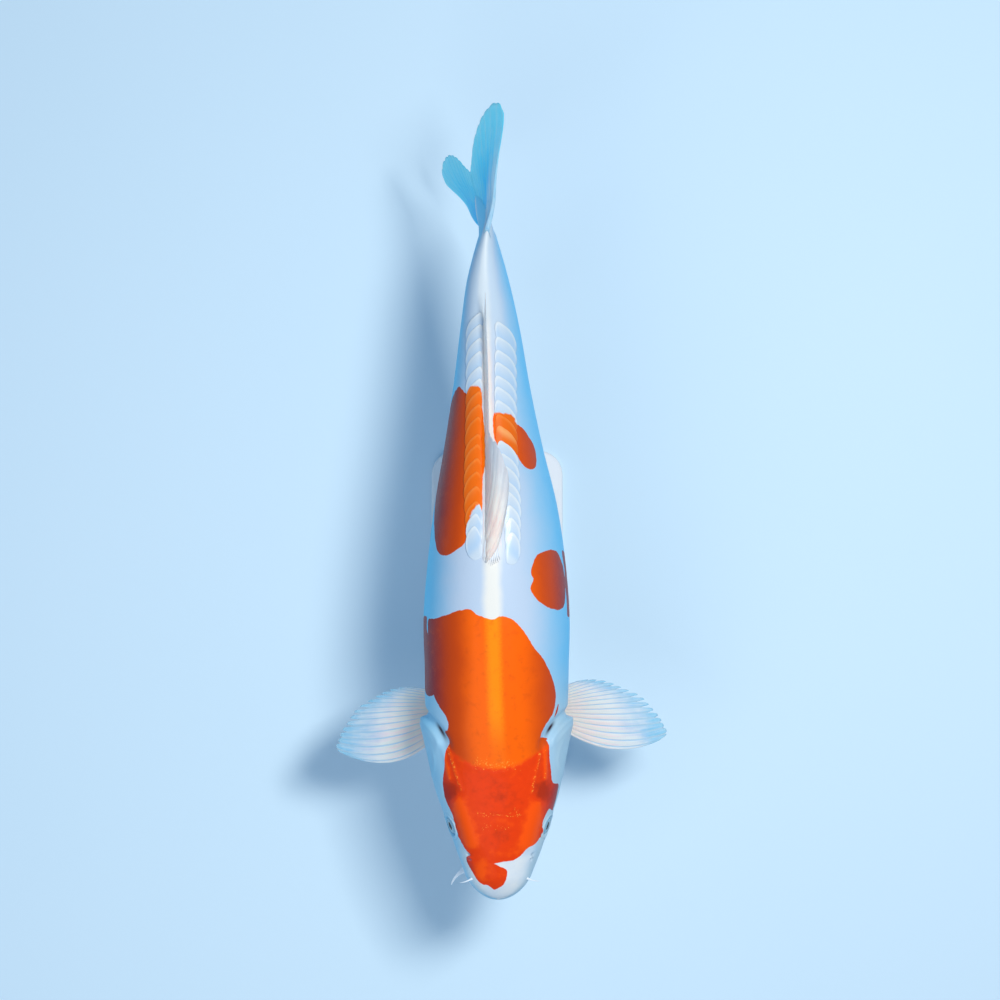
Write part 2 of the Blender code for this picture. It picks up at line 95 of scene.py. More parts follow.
HALF_WIDTH, BACK, BELLY, DRIFT, ROLL, FULLNESS = range(1, 7)


def smooth_through(at, places, values):
    """Cubics through (place, value) pairs, with the mean slope at each place."""
    slopes = np.gradient(values, places)
    left = np.clip(np.searchsorted(places, at, side="right") - 1, 0, len(places) - 2)
    step = places[left + 1] - places[left]
    t = (at - places[left]) / step
    start = (1 + 2 * t) * (1 - t) ** 2 * values[left] + t * (1 - t) ** 2 * step * slopes[left]
    end = t**2 * (3 - 2 * t) * values[left + 1] - t**2 * (1 - t) * step * slopes[left + 1]
    return start + end


def through(at, *pairs):
    """The same, with the pairs written out one by one."""
    places, values = np.array(pairs, float).T
    return smooth_through(np.clip(at, places[0], places[-1]), places, values)


def station(column, along):
    """One column of the stations, at any distance behind the snout up to the tail root."""
    return smooth_through(np.minimum(along, BODY_END), STATIONS[:, 0] * MM, STATIONS[:, column])


def step_up(low, high, value):
    """0 below low, 1 above high, with a smooth rise between."""
    t = np.clip((value - low) / (high - low), 0, 1)
    return t * t * (3 - 2 * t)


def bump(value, centre, width):
    """A smooth hill of height 1 at the centre, falling to 0.37 one width away."""
    return np.exp(-(((value - centre) / width) ** 2))


print("axis height:", round(AXIS_HEIGHT, 4), "snout:", round(SNOUT_Y, 4))

# %% [markdown]
# The root of the tail fin is twisted: its top is swung to one side and its bottom to the other.
# The flesh of the tail stalk runs a little way into the fin and thins out there, so the body's
# formula goes on past the last station and follows the fin's twist.

# %% Points and outward directions of the body
TAIL_SWING = 0.27


def tail_swing(behind, height):
    """Sideways place of the tail fin: swung towards -X, its top twisted back towards +X.

    It is the drift at the body's end, less the swing times the distance behind it, plus the twist
    times the height. The twist grows with the distance and is given for each lobe.
    """
    mm = behind / MM
    above = through(mm, (0, -0.02), (17, 0.21), (27, 0.30), (43, 0.37), (65, 0.46), (93, 0.55),
                    (112, 0.56))
    below = through(mm, (0, -0.02), (8, 0.03), (15, 0.11), (32, 0.15), (54, 0.26), (77, 0.26))
    twist = np.where(height > 0, above, below)
    return station(DRIFT, BODY_END) * MM - TAIL_SWING * behind + twist * height


def body_point(along, around):
    """A point of the body. Around is 0 on the back, a quarter turn on the +X flank.

    Each section is |side / half width|^p + |rise / height|^p = 1, with p the fullness. It is
    rolled, shrinks like a quarter circle towards the snout, and thins out into the tail fin.
    """
    along, around = np.broadcast_arrays(np.asarray(along, float), np.asarray(around, float))
    inside_nose = 1 - np.clip(along, 0, NOSE_LENGTH) / NOSE_LENGTH
    nose = np.sqrt(1 - inside_nose**2)
    into_fin = np.clip((along - BODY_END) / ROOT_LENGTH, 0, 1)
    power = 2 / station(FULLNESS, along)
    half_width = station(HALF_WIDTH, along) * MM * nose * (1 - into_fin) ** 1.5
    height = np.where(np.cos(around) > 0, station(BACK, along), station(BELLY, along)) * MM
    height = height * nose * (1 - 0.62 * into_fin**1.5)
    side = half_width * np.sign(np.sin(around)) * np.abs(np.sin(around)) ** power
    rise = height * np.sign(np.cos(around)) * np.abs(np.cos(around)) ** power
    roll = np.radians(station(ROLL, along))
    upwards = rise * np.cos(roll) - side * np.sin(roll)
    x = station(DRIFT, along) * MM + side * np.cos(roll) + rise * np.sin(roll)
    x_in_fin = tail_swing(np.maximum(along - BODY_END, 0), rise) + side
    x = np.where(along > BODY_END, x_in_fin, x)
    return np.stack([x, SNOUT_Y + along, AXIS_HEIGHT + upwards], axis=-1)


def unit(vectors):
    """Vectors scaled to length 1."""
    return vectors / np.maximum(np.linalg.norm(vectors, axis=-1, keepdims=True), 1e-12)


def body_normal(along, around):
    """The outward direction, from the two tangents of the body's surface."""
    along = np.clip(along, 1 * MM, SKIN_END - 1 * MM)
    lengthwise = body_point(along + 0.5 * MM, around) - body_point(along - 0.5 * MM, around)
    crosswise = body_point(along, around + 0.01) - body_point(along, around - 0.01)
    return unit(np.cross(crosswise, lengthwise))


def girth(along, around):
    """Distance round the body from the middle of the back, in mm, signed like around."""
    mean_height = (station(BACK, along) + station(BELLY, along)) / 2
    return around * (station(HALF_WIDTH, along) + mean_height) / 2


widest = STATIONS[STATIONS[:, HALF_WIDTH].argmax()]
print("widest", widest[0], "mm behind the snout:", 2 * widest[HALF_WIDTH], "mm,", "skin to", SKIN_END)

# %% [markdown]
# ## Making meshes
# Every new piece is a grid of points worked out as one array. There are two kinds: a tube drawn
# together at both ends, for the body, the eyes and the feelers, and a closed sheet with two sides,
# for the fins and the scales. The helpers turn such a grid into a mesh: quads between neighbours,
# a UV map named OFBake for the finishes to be baked on, and named values on the points that the
# finishes read.

# %% Faces of a grid
def grid_quads(rows, columns):
    """Corners of the quads between the points of a grid: a point, its neighbours, the one across."""
    index = np.arange(rows * columns).reshape(rows, columns)
    corners = (index[:-1, :-1], index[:-1, 1:], index[1:, 1:], index[1:, :-1])
    return np.stack(corners, axis=-1).reshape(-1, 4)


def sheet_quads(rows, columns):
    """Faces of a closed sheet made of two grids of points: upper side, lower side, then the rim."""
    top = grid_quads(rows, columns)
    index = np.arange(rows * columns).reshape(rows, columns)
    loop = np.concatenate([index[:, 0], index[-1, 1:], index[-2::-1, -1], index[0, -2:0:-1]])
    after = np.roll(loop, -1)
    below = rows * columns
    rim = np.stack([loop + below, after + below, after, loop], axis=1)
    return np.concatenate([top[:, ::-1], top + below, rim])


print("a sheet of 3 by 4 points twice has", len(sheet_quads(3, 4)), "faces")

# %% [markdown]
# A mesh could be put together face by face with an edit mesh, but whole arrays handed over at once
# are far quicker. Each new piece rides on the model's root and takes the place of its plain nodes.

# %% Grid to mesh
def make_piece(name, points, faces, values, finish, replaces=(), slot="white_skin"):
    """A mesh piece. Faces are (corner indices, corner uvs) arrays, one pair for each kind of face.

    Values are numbers on the points that the finish reads by name.
    """
    indices = np.concatenate([part.ravel() for part, _ in faces]).astype(np.int32)
    uv = np.concatenate([np.asarray(corner_uv, np.float32).ravel() for _, corner_uv in faces])
    sizes = np.concatenate([np.full(len(part), part.shape[1]) for part, _ in faces])
    mesh = bpy.data.meshes.new(name)
    mesh.vertices.add(len(points))
    mesh.vertices.foreach_set("co", np.asarray(points, np.float32).ravel())
    mesh.loops.add(len(indices))
    mesh.loops.foreach_set("vertex_index", indices)
    mesh.polygons.add(len(sizes))
    mesh.polygons.foreach_set("loop_start", (np.cumsum(sizes) - sizes).astype(np.int32))
    mesh.update(calc_edges=True)
    layer = mesh.uv_layers.new(name="OFBake")
    layer.data.foreach_set("uv", uv)
    for label, data in values.items():
        store = mesh.attributes.new(label, "FLOAT", "POINT")
        store.data.foreach_set("value", np.asarray(data, np.float32).ravel())
    mesh.validate(verbose=False)
    mesh.shade_smooth()
    mesh.materials.append(finish.material)
    piece = bpy.data.objects.new(name, mesh)
    bpy.context.scene.collection.objects.link(piece)
    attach(piece, "root")
    if replaces:
        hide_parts(*replaces)
    print(name, "points", len(points), "triangles", int((sizes - 2).sum()))


# %% [markdown]
# A tube has no free edge: each end is drawn together by a fan of triangles round one point, so the
# piece is closed. The seam of the unwrap runs along the tube, where the last point meets the first.

# %% A tube of rings
def make_tube(name, rings, ends, u, v, values, finish, way=1, **fitting):
    """A closed tube: rings of points, drawn together on one point at either end.

    On the unwrap, u is each ring's place and v the place of each point round it, with the seam
    twice. Way is -1 for rings that turn the other way, so that the faces still look outward.
    """
    ring_count, spokes = rings.shape[:2]
    row, column = divmod(grid_quads(ring_count, spokes + 1), spokes + 1)
    faces = [(row * spokes + column % spokes, np.stack([u[row], v[column]], -1))]
    index = np.arange(ring_count * spokes).reshape(ring_count, spokes)
    for end, turn in ((0, -1), (1, 1)):
        ring = index[-end]
        corners = np.stack([np.full(spokes, index.size + end), ring, np.roll(ring, -1)], axis=1)
        fan_u = np.broadcast_to([end, u[-end], u[-end]], (spokes, 3))
        fan_v = np.stack([np.full(spokes, 0.5), v[:-1], v[1:]], axis=1)
        faces.append((corners[:, ::turn], np.stack([fan_u, fan_v], -1)[:, ::turn]))
    faces = [(corners[:, ::way], uv[:, ::way]) for corners, uv in faces]
    make_piece(name, np.concatenate([rings.reshape(-1, 3), ends]), faces, values, finish, **fitting)


# %% [markdown]
# ## Writing finishes as expressions
# The finishes are node trees. Writing each Math node by hand would hide the idea, so a small class
# wraps a socket and lets ordinary arithmetic add the nodes. A second class holds one material. It
# has one method that adds any node, and short ones for the few that are used again and again.

# %% Sockets with arithmetic
class Value:
    """A number that varies over the surface. Arithmetic on it adds Math nodes."""

    def __init__(self, finish, socket):
        self.finish = finish
        self.socket = socket

    def _math(self, operation, *inputs):
        return self.finish.node("ShaderNodeMath", {"operation": operation}, dict(enumerate(inputs)))

    def __add__(self, other):
        return self._math("ADD", self, other)

    __radd__ = __add__

    def __sub__(self, other):
        return self._math("SUBTRACT", self, other)

    def __rsub__(self, other):
        return self._math("SUBTRACT", other, self)

    def __mul__(self, other):
        return self._math("MULTIPLY", self, other)

    __rmul__ = __mul__

    def __abs__(self):
        return self._math("ABSOLUTE", self)

    def wave(self):
        """A cosine wave of a value in radians: 1 at each full turn, -1 half way between."""
        return self._math("COSINE", self)

    def step(self, low, high):
        """0 below low, 1 above high, smooth between. Low may be the larger one."""
        inputs = {"Value": self, "From Min": low, "From Max": high}
        return self.finish.node("ShaderNodeMapRange", {"interpolation_type": "SMOOTHSTEP"}, inputs)


# %% A material under construction
class Finish:
    """A material under construction, with one Principled shader and its constants."""

    def __init__(self, name, **constants):
        self.material = bpy.data.materials.new(name)
        self.material.use_nodes = True
        self.tree = self.material.node_tree
        self.shader = self.tree.nodes["Principled BSDF"]
        for label, value in constants.items():
            self.shader.inputs[label.replace("_", " ")].default_value = value

    def node(self, kind, settings=None, inputs=None, output=0):
        """Adds a node: its settings first, then the values or links of its sockets."""
        made = self.tree.nodes.new(kind)
        for label, value in (settings or {}).items():
            setattr(made, label, value)
        for label, value in (inputs or {}).items():
            self.feed(made.inputs[label], value)
        return Value(self, made.outputs[output])

    def feed(self, socket, value):
        """Links a value to a socket, or sets a plain number or colour on it."""
        if isinstance(value, Value):
            self.tree.links.new(value.socket, socket)
        elif isinstance(value, tuple) and len(value) == 3 and socket.type == "RGBA":
            socket.default_value = (*value, 1.0)
        else:
            socket.default_value = value

    def attribute(self, label):
        """One of the named values on the points."""
        return self.node("ShaderNodeAttribute", {"attribute_name": label}, output="Fac")

    def noise(self, scale, detail, stretch=(1, 1, 1)):
        """Cloudy noise around 0.5, with that many lumps to a metre, in object coordinates."""
        place = self.node("ShaderNodeTexCoord", output="Object")
        place = self.node("ShaderNodeVectorMath", {"operation": "MULTIPLY"}, {0: place, 1: stretch})
        inputs = {"Vector": place, "Scale": scale, "Detail": detail}
        return self.node("ShaderNodeTexNoise", None, inputs, output="Fac")

    def grain(self, x, y, detail):
        """Noise over two measures of the surface, so that it runs along the slower one."""
        place = self.node("ShaderNodeCombineXYZ", None, {"X": x, "Y": y})
        inputs = {"Vector": place, "Scale": 1.0, "Detail": detail}
        return self.node("ShaderNodeTexNoise", None, inputs, output="Fac")

    def blend(self, share, first, second):
        """A colour between two: the first where the share is 0, the second where it is 1.

        Sockets 0, 6 and 7 of the Mix node are the share and the two colours.
        """
        return self.node("ShaderNodeMix", {"data_type": "RGBA"}, {0: share, 6: first, 7: second}, 2)

    def relief(self, height, distance, strength):
        """A bumped normal from a height, in metres of distance."""
        inputs = {"Height": height, "Distance": distance, "Strength": strength}
        return self.node("ShaderNodeBump", None, inputs)

    def set(self, label, value):
        """Feeds one of the shader's own sockets."""
        self.feed(self.shader.inputs[label], value)


# %% [markdown]
# ## The markings
# The orange-red patches have crisp, slightly wavy edges. Each patch is a smooth closed curve drawn
# on the body in two measures: distance behind the snout in mm, and degrees round from the middle
# of the back, with the fish's own left positive. The patches could be painted on by hand, but an
# edge kept as a curve stays crisp at any size. The skin and the scales both carry the distance to
# the nearest edge, so their markings agree, and the finish turns it into a sharp edge.

# %% Patches
HEAD_PATCH = (
    (144, 39), (141, 46), (133, 48), (120, 51), (104, 57), (102, 70), (97, 74), (80, 74), (80, 61),
    (70, 53), (60, 57), (52, 50), (47, 34), (40, 25), (36, 14), (33, -9), (30, -20), (33, -34), (39, -43),
    (46, -50), (54, -57), (66, -56), (77, -55), (89, -59), (102, -56), (116, -49), (129, -45),
    (140, -40), (150, -39),
)
NOSE_PATCH = (
    (42, -30), (40, -46), (38, -54), (32, -57), (24, -50), (17, -44), (14, -34), (13, -24), (9, -12),
    (13, 4), (22, 9), (27, 8), (31, -1), (35, -14),
)
SHOULDER_PATCH = (
    (134, 0), (139, 30), (140, 38), (152, 43), (167, 55), (182, 58), (200, 51), (214, 42), (223, 34),
    (238, 25), (247, 17), (250, 8), (247, 2), (251, -8), (256, -16), (252, -32), (247, -50),
    (245, -62), (228, -62), (205, -60), (182, -56), (172, -49), (158, -38), (141, -38),
)
RIGHT_FLANK_PATCH = (
    (249, -67), (236, -64.5), (222, -58), (205, -54), (182, -54), (180, -72), (190, -88), (204, -92),
    (214, -101), (230, -98), (243, -90),
)
SPOT_PATCH = (
    (306, 54), (306, 66), (298, 75), (288, 80), (264, 77), (255, 67), (256, 52), (261, 42), (272, 33),
    (281, 36), (287, 34), (297, 38), (303, 44),
)
LEFT_FLANK_PATCH = (
    (305, 81), (290, 82), (276, 80), (262, 81), (248, 82), (250, 96), (259, 102), (264, 112), (276, 118),
    (288, 111), (297, 109), (303, 96),
)
SADDLE_PATCH = (
    (448, -50), (446, -38), (443, -31), (446, -24), (445, -9), (434, -5), (410, -1), (386, 0), (370, -4),
    (349, -5), (342, -10), (331, -14), (314, -20), (306, -29), (302, -42), (308, -54), (333, -68),
    (365, -82), (400, -88), (430, -78),
)
BACK_PATCH = (
    (426, 12), (424, 34), (416, 40), (409, 52), (397, 63), (388, 63), (378, 56), (378, 43), (386, 35),
    (394, 33), (391, 24), (395, 17), (400, 10), (412, 8),
)
FLECK_PATCH = ((173, 62), (167, 61), (161, 57), (166, 58))
PATCHES = (
    HEAD_PATCH, NOSE_PATCH, SHOULDER_PATCH, RIGHT_FLANK_PATCH, SPOT_PATCH, LEFT_FLANK_PATCH,
    SADDLE_PATCH, BACK_PATCH, FLECK_PATCH,
)
print("patches:", len(PATCHES), "corners:", sum(len(patch) for patch in PATCHES))

# %% [markdown]
# The distance to a curve is the distance to the nearest of its short straight pieces. Whether a
# place is inside is told by how often a line from it crosses the curve: an odd number of times.
# Distances round the body are measured in mm of girth, so that an edge is as wavy everywhere.

# %% Distance to the edges
CURVE_STEPS = 6
FAR_FROM_PATCH = 30.0
NEAR_PATCH = 8
PLACES_AT_ONCE = 4000


def closed_curve(corners):
    """A smooth closed curve: between two corners runs a cubic, along their neighbours at its ends."""
    p = np.array(corners, float)
    before, after, beyond = np.roll(p, 1, 0), np.roll(p, -1, 0), np.roll(p, -2, 0)
    t = np.linspace(0, 1, CURVE_STEPS, endpoint=False)[None, :, None]
    a, b, c, d = (q[:, None] for q in (before, p, after, beyond))
    bend, twist = 2 * a - 5 * b + 4 * c - d, 3 * b - a - 3 * c + d
    points = 0.5 * (2 * b + (c - a) * t + bend * t**2 + twist * t**3)
    return points.reshape(-1, 2)


def edge_distance(places, outline):
    """Distance in mm from places to a closed outline, negative inside it."""
    start, end = outline, np.roll(outline, -1, 0)
    run = end - start
    offset = places[:, None] - start
    share = np.clip((offset * run).sum(-1) / np.maximum((run**2).sum(-1), 1e-9), 0, 1)
    nearest = np.linalg.norm(offset - share[..., None] * run, axis=-1).min(1)
    spans = (start[:, 1] > places[:, 1:]) != (end[:, 1] > places[:, 1:])
    slope = run[:, 0] / np.where(run[:, 1] == 0, 1e-9, run[:, 1])
    crossing = start[:, 0] + (places[:, 1:] - start[:, 1]) * slope
    inside = (spans & (places[:, :1] < crossing)).sum(1) % 2 == 1
    return np.where(inside, -nearest, nearest)


def marking(along, around):
    """Distance in mm to the nearest marking's edge, negative inside a marking."""
    shape = np.shape(along)
    places = np.stack([np.ravel(along) / MM, np.ravel(girth(along, around))], -1)
    result = np.full(len(places), FAR_FROM_PATCH)
    for corners in PATCHES:
        curve = closed_curve(corners)
        outline = np.stack([curve[:, 0], girth(curve[:, 0] * MM, np.radians(curve[:, 1]))], -1)
        low, high = outline.min(0) - NEAR_PATCH, outline.max(0) + NEAR_PATCH
        near = np.flatnonzero(((places > low) & (places < high)).all(1))
        for part in np.array_split(near, max(1, len(near) // PLACES_AT_ONCE)):
            result[part] = np.minimum(result[part], edge_distance(places[part], outline))
    return result.reshape(shape)


# %% [markdown]
# ## The skin's relief
# One skin covers head, gill covers, trunk and tail stalk. What the flesh does at a smaller scale is
# a height over the smooth body: the gill cover with its free hind edge and the slit behind it, the
# eye sockets with a ring of lid, lips, nostrils, and low ridges on the skull. These could be a
# bump in the finish, but seen from the side only real height shows. A grid with more rows on the
# head keeps them crisp.

# %% The grid of the skin
NOSE_ROWS, HEAD_ROWS, GILL_ROWS, TRUNK_ROWS, ROOT_ROWS = 40, 84, 84, 150, 18
SKIN_COLUMNS = 256
GILL_START, GILL_END = 92 * MM, 172 * MM


def skin_rows():
    """Distances behind the snout: even steps round the nose, close on the head, wider behind."""
    nose = NOSE_LENGTH * (1 - np.cos(np.linspace(0.02, math.pi / 2, NOSE_ROWS)))
    head = np.linspace(NOSE_LENGTH, GILL_START, HEAD_ROWS)
    gill = np.linspace(GILL_START, GILL_END, GILL_ROWS)
    trunk = np.linspace(GILL_END, BODY_END, TRUNK_ROWS)
    root = BODY_END + ROOT_LENGTH * np.sin(np.linspace(0, math.pi / 2 - 0.02, ROOT_ROWS))
    return np.concatenate([nose, head[1:], gill[1:], trunk[1:], root[1:]])


def skin_columns():
    """Angles once round from the belly, closer together over the eyes and the gill covers."""
    even = np.linspace(-math.pi, math.pi, 2000)
    density = 1 + 0.9 * bump(np.abs(even), math.radians(68), math.radians(32))
    total = np.concatenate([[0], np.cumsum((density[1:] + density[:-1]) / 2)])
    return np.interp(np.linspace(0, total[-1], SKIN_COLUMNS + 1)[:-1], total, even)


rows, columns = skin_rows(), skin_columns()
ALONG, AROUND = np.meshgrid(rows, columns, indexing="ij")
flesh = body_point(ALONG, AROUND)
outward = body_normal(ALONG, AROUND)
print("skin grid:", ALONG.shape)

# %% [markdown]
# The gill cover follows the solids: an oval on the cheek that stands off more and more towards its
# hind edge. Its front blends into the cheek and only the hind edge is free.

# %% Gill covers
GILL_ALONG, GILL_HALF_LENGTH = 128.5 * MM, 33 * MM
GILL_AROUND, GILL_HALF_SPREAD = math.radians(88), math.radians(44)
GILL_FLARE = 6.4
GILL_SLIT_DEPTH = 2.6


def gill_relief(along, around):
    """Height in mm of the gill cover, and how deep a point lies in the slit behind it, 0 to 1.

    Reach is the distance from the cover's middle over that of its oval edge in the same
    direction, so it is 1 on the edge. The cover flares by a power of the way from front to back.
    """
    backward = (along - GILL_ALONG) / GILL_HALF_LENGTH
    downward = (np.abs(around) - GILL_AROUND) / GILL_HALF_SPREAD
    reach = np.hypot(backward, downward)
    free = step_up(-0.15, 0.45, backward)
    edge_width = 0.42 - 0.36 * free
    cover = 1 - step_up(1 - edge_width, 1, reach)
    flare = GILL_FLARE * np.clip((1 + backward) / 2, 0, 1.1) ** 1.6
    lip = 0.5 * bump(reach, 0.93, 0.05) * free
    upper = bump(np.degrees(np.abs(around)), 50 + 3 * (around > 0), 5.5)
    slit = upper * free * bump(reach, 1.07, 0.036)
    plate_edge = 0.45 * bump(reach, 0.62, 0.05) * step_up(-0.9, -0.2, -backward)
    flare = flare * (1 - 0.4 * free * step_up(0.72, 1.02, reach))
    height = (flare + lip) * cover + plate_edge
    dent = GILL_SLIT_DEPTH * free * bump(reach, 1.1, 0.1) * (1 - cover)
    return height - dent, slit


gill_height, gill_slit = gill_relief(ALONG, AROUND)
print("gill covers stand off by up to", round(gill_height.max(), 1), "mm")

# %% [markdown]
# An eye sits in a round opening. The skin rises into a low ring of lid round it and dips inside
# the ring, below the surface of the eyeball. The middle of each eyeball is that of the solid eye.

# %% Eye sockets
EYE_ALONG, EYE_AROUND = 65 * MM, math.radians(72)
EYE_CENTRES = {}
EYE_AXES = {}
for word, side in (("left", 1), ("right", -1)):
    low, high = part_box(f"eye_{word}")
    EYE_CENTRES[word] = (np.array(low) + np.array(high)) / 2
    EYE_AXES[word] = body_normal(np.array(EYE_ALONG), np.array(side * EYE_AROUND))
EYE_OPENING = 8.6


def socket_relief(points):
    """Height in mm of the lid rings, and a share that is 1 inside an eye opening.

    Rings and furrow are hills over the distance from the eye's axis, and the opening is a sink.
    """
    height = np.zeros(points.shape[:-1])
    opening = np.zeros(points.shape[:-1])
    for word in EYE_CENTRES:
        offset = (points - EYE_CENTRES[word]) / MM
        depth = offset @ EYE_AXES[word]
        from_axis = np.linalg.norm(offset - depth[..., None] * EYE_AXES[word], axis=-1)
        near = depth > 0
        ring = 1.1 * bump(from_axis, EYE_OPENING + 2.0, 1.5) + 0.5 * bump(from_axis, 13.6, 1.2)
        furrow = 0.5 * bump(from_axis, 12.2, 0.9)
        sink = 5.5 * (1 - step_up(EYE_OPENING - 1.6, EYE_OPENING + 1.0, from_axis))
        height += near * (ring - furrow - sink)
        opening = np.maximum(opening, near * (1 - step_up(EYE_OPENING, EYE_OPENING + 2.2, from_axis)))
    return height, opening


socket_height, eye_opening = socket_relief(flesh)
print("lids rise by", round(socket_height.max(), 1), "mm, sockets sink", round(-socket_height.min(), 1))

# %% [markdown]
# The mouth is a slit that runs round the snout and drops towards its corners. Above it are the
# folds of the upper lip, which slides out when a carp feeds. A cut mouth would need a hollow
# behind it. A closed one is only a furrow between two lips, so a height is enough.

# %% Mouth
MOUTH_TILT = 10.5 / 27
MOUTH_CORNER = 26 * MM


def mouth_relief(along, points):
    """Height in mm of lips and folds, and shares that are 1 in the slit and in the folds.

    Each is a hill over the height above the mouth's line, which drops evenly behind the snout.
    """
    over_line = (points[..., 2] - AXIS_HEIGHT) / MM + 4 + MOUTH_TILT * (along / MM + 1)
    ahead = 1 - step_up(MOUTH_CORNER - 3 * MM, MOUTH_CORNER + 4 * MM, along)
    slit = ahead * bump(over_line, 0, 0.8)
    lips = 1.3 * bump(over_line, 3.0, 1.9) + 1.1 * bump(over_line, -2.8, 1.9)
    folds = bump(over_line, 6.5, 0.8) + 0.8 * bump(over_line, 10.5, 0.8) + 0.4 * bump(over_line, -7, 1.2)
    folds = folds * (1 - step_up(24 * MM, 44 * MM, along))
    height = ahead * lips - 2.0 * slit - 0.9 * folds
    return height, slit, folds


mouth_height, mouth_slit, lip_folds = mouth_relief(ALONG, flesh)
print("lips from", round(mouth_height.min(), 1), "to", round(mouth_height.max(), 1), "mm")

# %% [markdown]
# The nostrils are two pits on each side, parted by a small flap of skin that steers the water
# through them. Each is a smooth hill or hollow, round or a little stretched.

# %% Nostrils
NOSTRIL_ALONG, NOSTRIL_AROUND = 38.5 * MM, math.radians(48)


def nostril_relief(along, around):
    """Height in mm of the two nostrils with their flap, and a share that is 1 in the pits."""
    forward = (NOSTRIL_ALONG - along) / MM
    across = (np.abs(around) - NOSTRIL_AROUND) * station(HALF_WIDTH, NOSTRIL_ALONG)
    front = np.exp(-(((forward - 1.9) / 1.3) ** 2) - (across / 1.6) ** 2)
    rear = np.exp(-(((forward + 2.1) / 1.6) ** 2) - (across / 2.0) ** 2)
    flap = np.exp(-(((forward + 0.1 - 0.12 * across**2) / 0.7) ** 2) - (across / 2.4) ** 2)
    swelling = np.exp(-((forward / 6.5) ** 2) - (across / 5.5) ** 2)
    pits = np.clip(front + rear, 0, 1)
    return 0.9 * swelling + 1.5 * flap - 1.9 * pits, pits


nostril_height, nostril_pits = nostril_relief(ALONG, AROUND)
print("nostrils are", round(-nostril_height.min(), 1), "mm deep")

# %% [markdown]
# The skull shows through the thin skin of the head: a low ridge over each eye, a hollow behind it,
# and the raised lines of the sensory canals. The same forms steer the head's relief and its
# colour: the red is brighter on the ridges and deeper in the hollows, partly the skin's own tone
# and partly painted light and shade.

# %% Skull
def mound(along, x, centre, radii):
    """A smooth round hill of height 1 on the head, seen from above; places in mm."""
    return np.exp(-(((along - centre[0]) / radii[0]) ** 2) - ((x - centre[1]) / radii[1]) ** 2)


def band(along, x, start, end, width):
    """A smooth ridge of height 1 along a straight line from start to end, in mm."""
    run = np.array(end, float) - np.array(start, float)
    share = ((along - start[0]) * run[0] + (x - start[1]) * run[1]) / (run @ run)
    share = np.clip(share, 0, 1)
    gap = np.hypot(along - start[0] - share * run[0], x - start[1] - share * run[1])
    return np.exp(-((gap / width) ** 2))


def skull_forms(points):
    """Shares of the head's forms: brow bands, temples, canals, forehead and distance to the nape."""
    a, x = (points[..., 1] - SNOUT_Y) / MM, points[..., 0] / MM
    upper = points[..., 2] > AXIS_HEIGHT
    brows = band(a, x, (86, -33), (50, -22), 6.5) + band(a, x, (84, 35), (50, 26), 6.5)
    temples = mound(a, x, (95, -41), (10, 7)) + mound(a, x, (95, 40), (11, 8))
    canals = band(a, x, (136, -43), (98, -31), 1.3) + band(a, x, (130, 37), (96, 30), 1.3)
    strips = band(a, x, (133, -47), (108, -41), 1.8) + band(a, x, (138, 42), (108, 42), 1.8)
    centre = mound(a, x, (98, 2), (15, 18)) + mound(a, x, (60, 1), (13, 11))
    nape = a - 117.5 - 14.4 * ((x + 1) / 37) ** 2
    forms = {"brows": brows, "temples": temples, "canals": canals, "strips": strips, "centre": centre}
    return {name: share * upper for name, share in forms.items()}, nape


def skull_relief(forms, nape):
    """Height in mm of the skull's forms, with a low step where the nape begins."""
    height = 1.1 * forms["brows"] - 0.9 * forms["temples"] + 0.6 * forms["canals"]
    height = height + 0.6 * forms["strips"] - 0.6 * forms["centre"]
    return height + 0.5 * bump(nape, -3, 4)


def head_tone(forms, points):
    """How much brighter (above 0) or deeper (below 0) the head's red is, from about -1 to 1.

    Brighter on the skull's raised bands and deeper in its hollows: partly the skin's own tone,
    partly painted light and shade.
    """
    a, x = (points[..., 1] - SNOUT_Y) / MM, points[..., 0] / MM
    tone = 0.95 * forms["brows"] - 0.95 * forms["temples"] + 0.35 * forms["canals"]
    tone = tone + 0.7 * forms["strips"] - 0.3 * forms["centre"]
    tone = tone + 0.3 * mound(a, x, (70, 6), (4, 12)) + 0.7 * mound(a, x, (27, -14), (9, 5))
    return tone + 0.35 * mound(a, x, (43, 3), (4, 18)) - 0.5 * mound(a, x, (44, -22), (7, 6))


def speck_lines(forms, points):
    """Where small bright specks follow the head's sensory canals, 0 to 1."""
    a, x = (points[..., 1] - SNOUT_Y) / MM, points[..., 0] / MM
    dots = band(a, x, (77, -16), (76, 19), 2.2) + 0.7 * band(a, x, (86, 14), (76, 19), 1.6)
    nape = band(a, x, (122, -16), (119, 14), 6.5) + 0.6 * band(a, x, (66, -10), (64, 12), 5.0)
    return np.clip(dots + 1.1 * forms["canals"] + 0.6 * forms["strips"] + 0.9 * nape, 0, 1)


skull, nape_distance = skull_forms(flesh)
skull_height = skull_relief(skull, nape_distance)
print("skull from", round(skull_height.min(), 1), "to", round(skull_height.max(), 1), "mm")

# %% [markdown]
# On the trunk the side line is a fine furrow, the flesh forms a low sheath along the root of the
# dorsal fin, and it swells where the breast fins grow out. Then all the heights are added up and
# the points moved along the outward direction.

# %% Trunk, and all heights together
def trunk_relief(along, around):
    """Height in mm of the side line, the sheath of the dorsal fin and the fin roots."""
    a, turn = along / MM, np.degrees(around)
    middle = through(a, (140, 68), (220, 78), (330, 88), (450, 90), (582, 90))
    has_line = step_up(150, 175, a) * (1 - step_up(560, 582, a))
    side_line = -0.22 * bump(np.abs(turn), middle, 1.2) * has_line
    in_dorsal = step_up(286, 300, a) * (1 - step_up(492, 510, a))
    sheath = 1.5 * bump(girth(along, around), 0.0, 3.2) * in_dorsal
    pectoral = 1.8 * bump(np.abs(turn), 134, 11) * bump(a, 166, 15)
    return side_line + sheath + pectoral


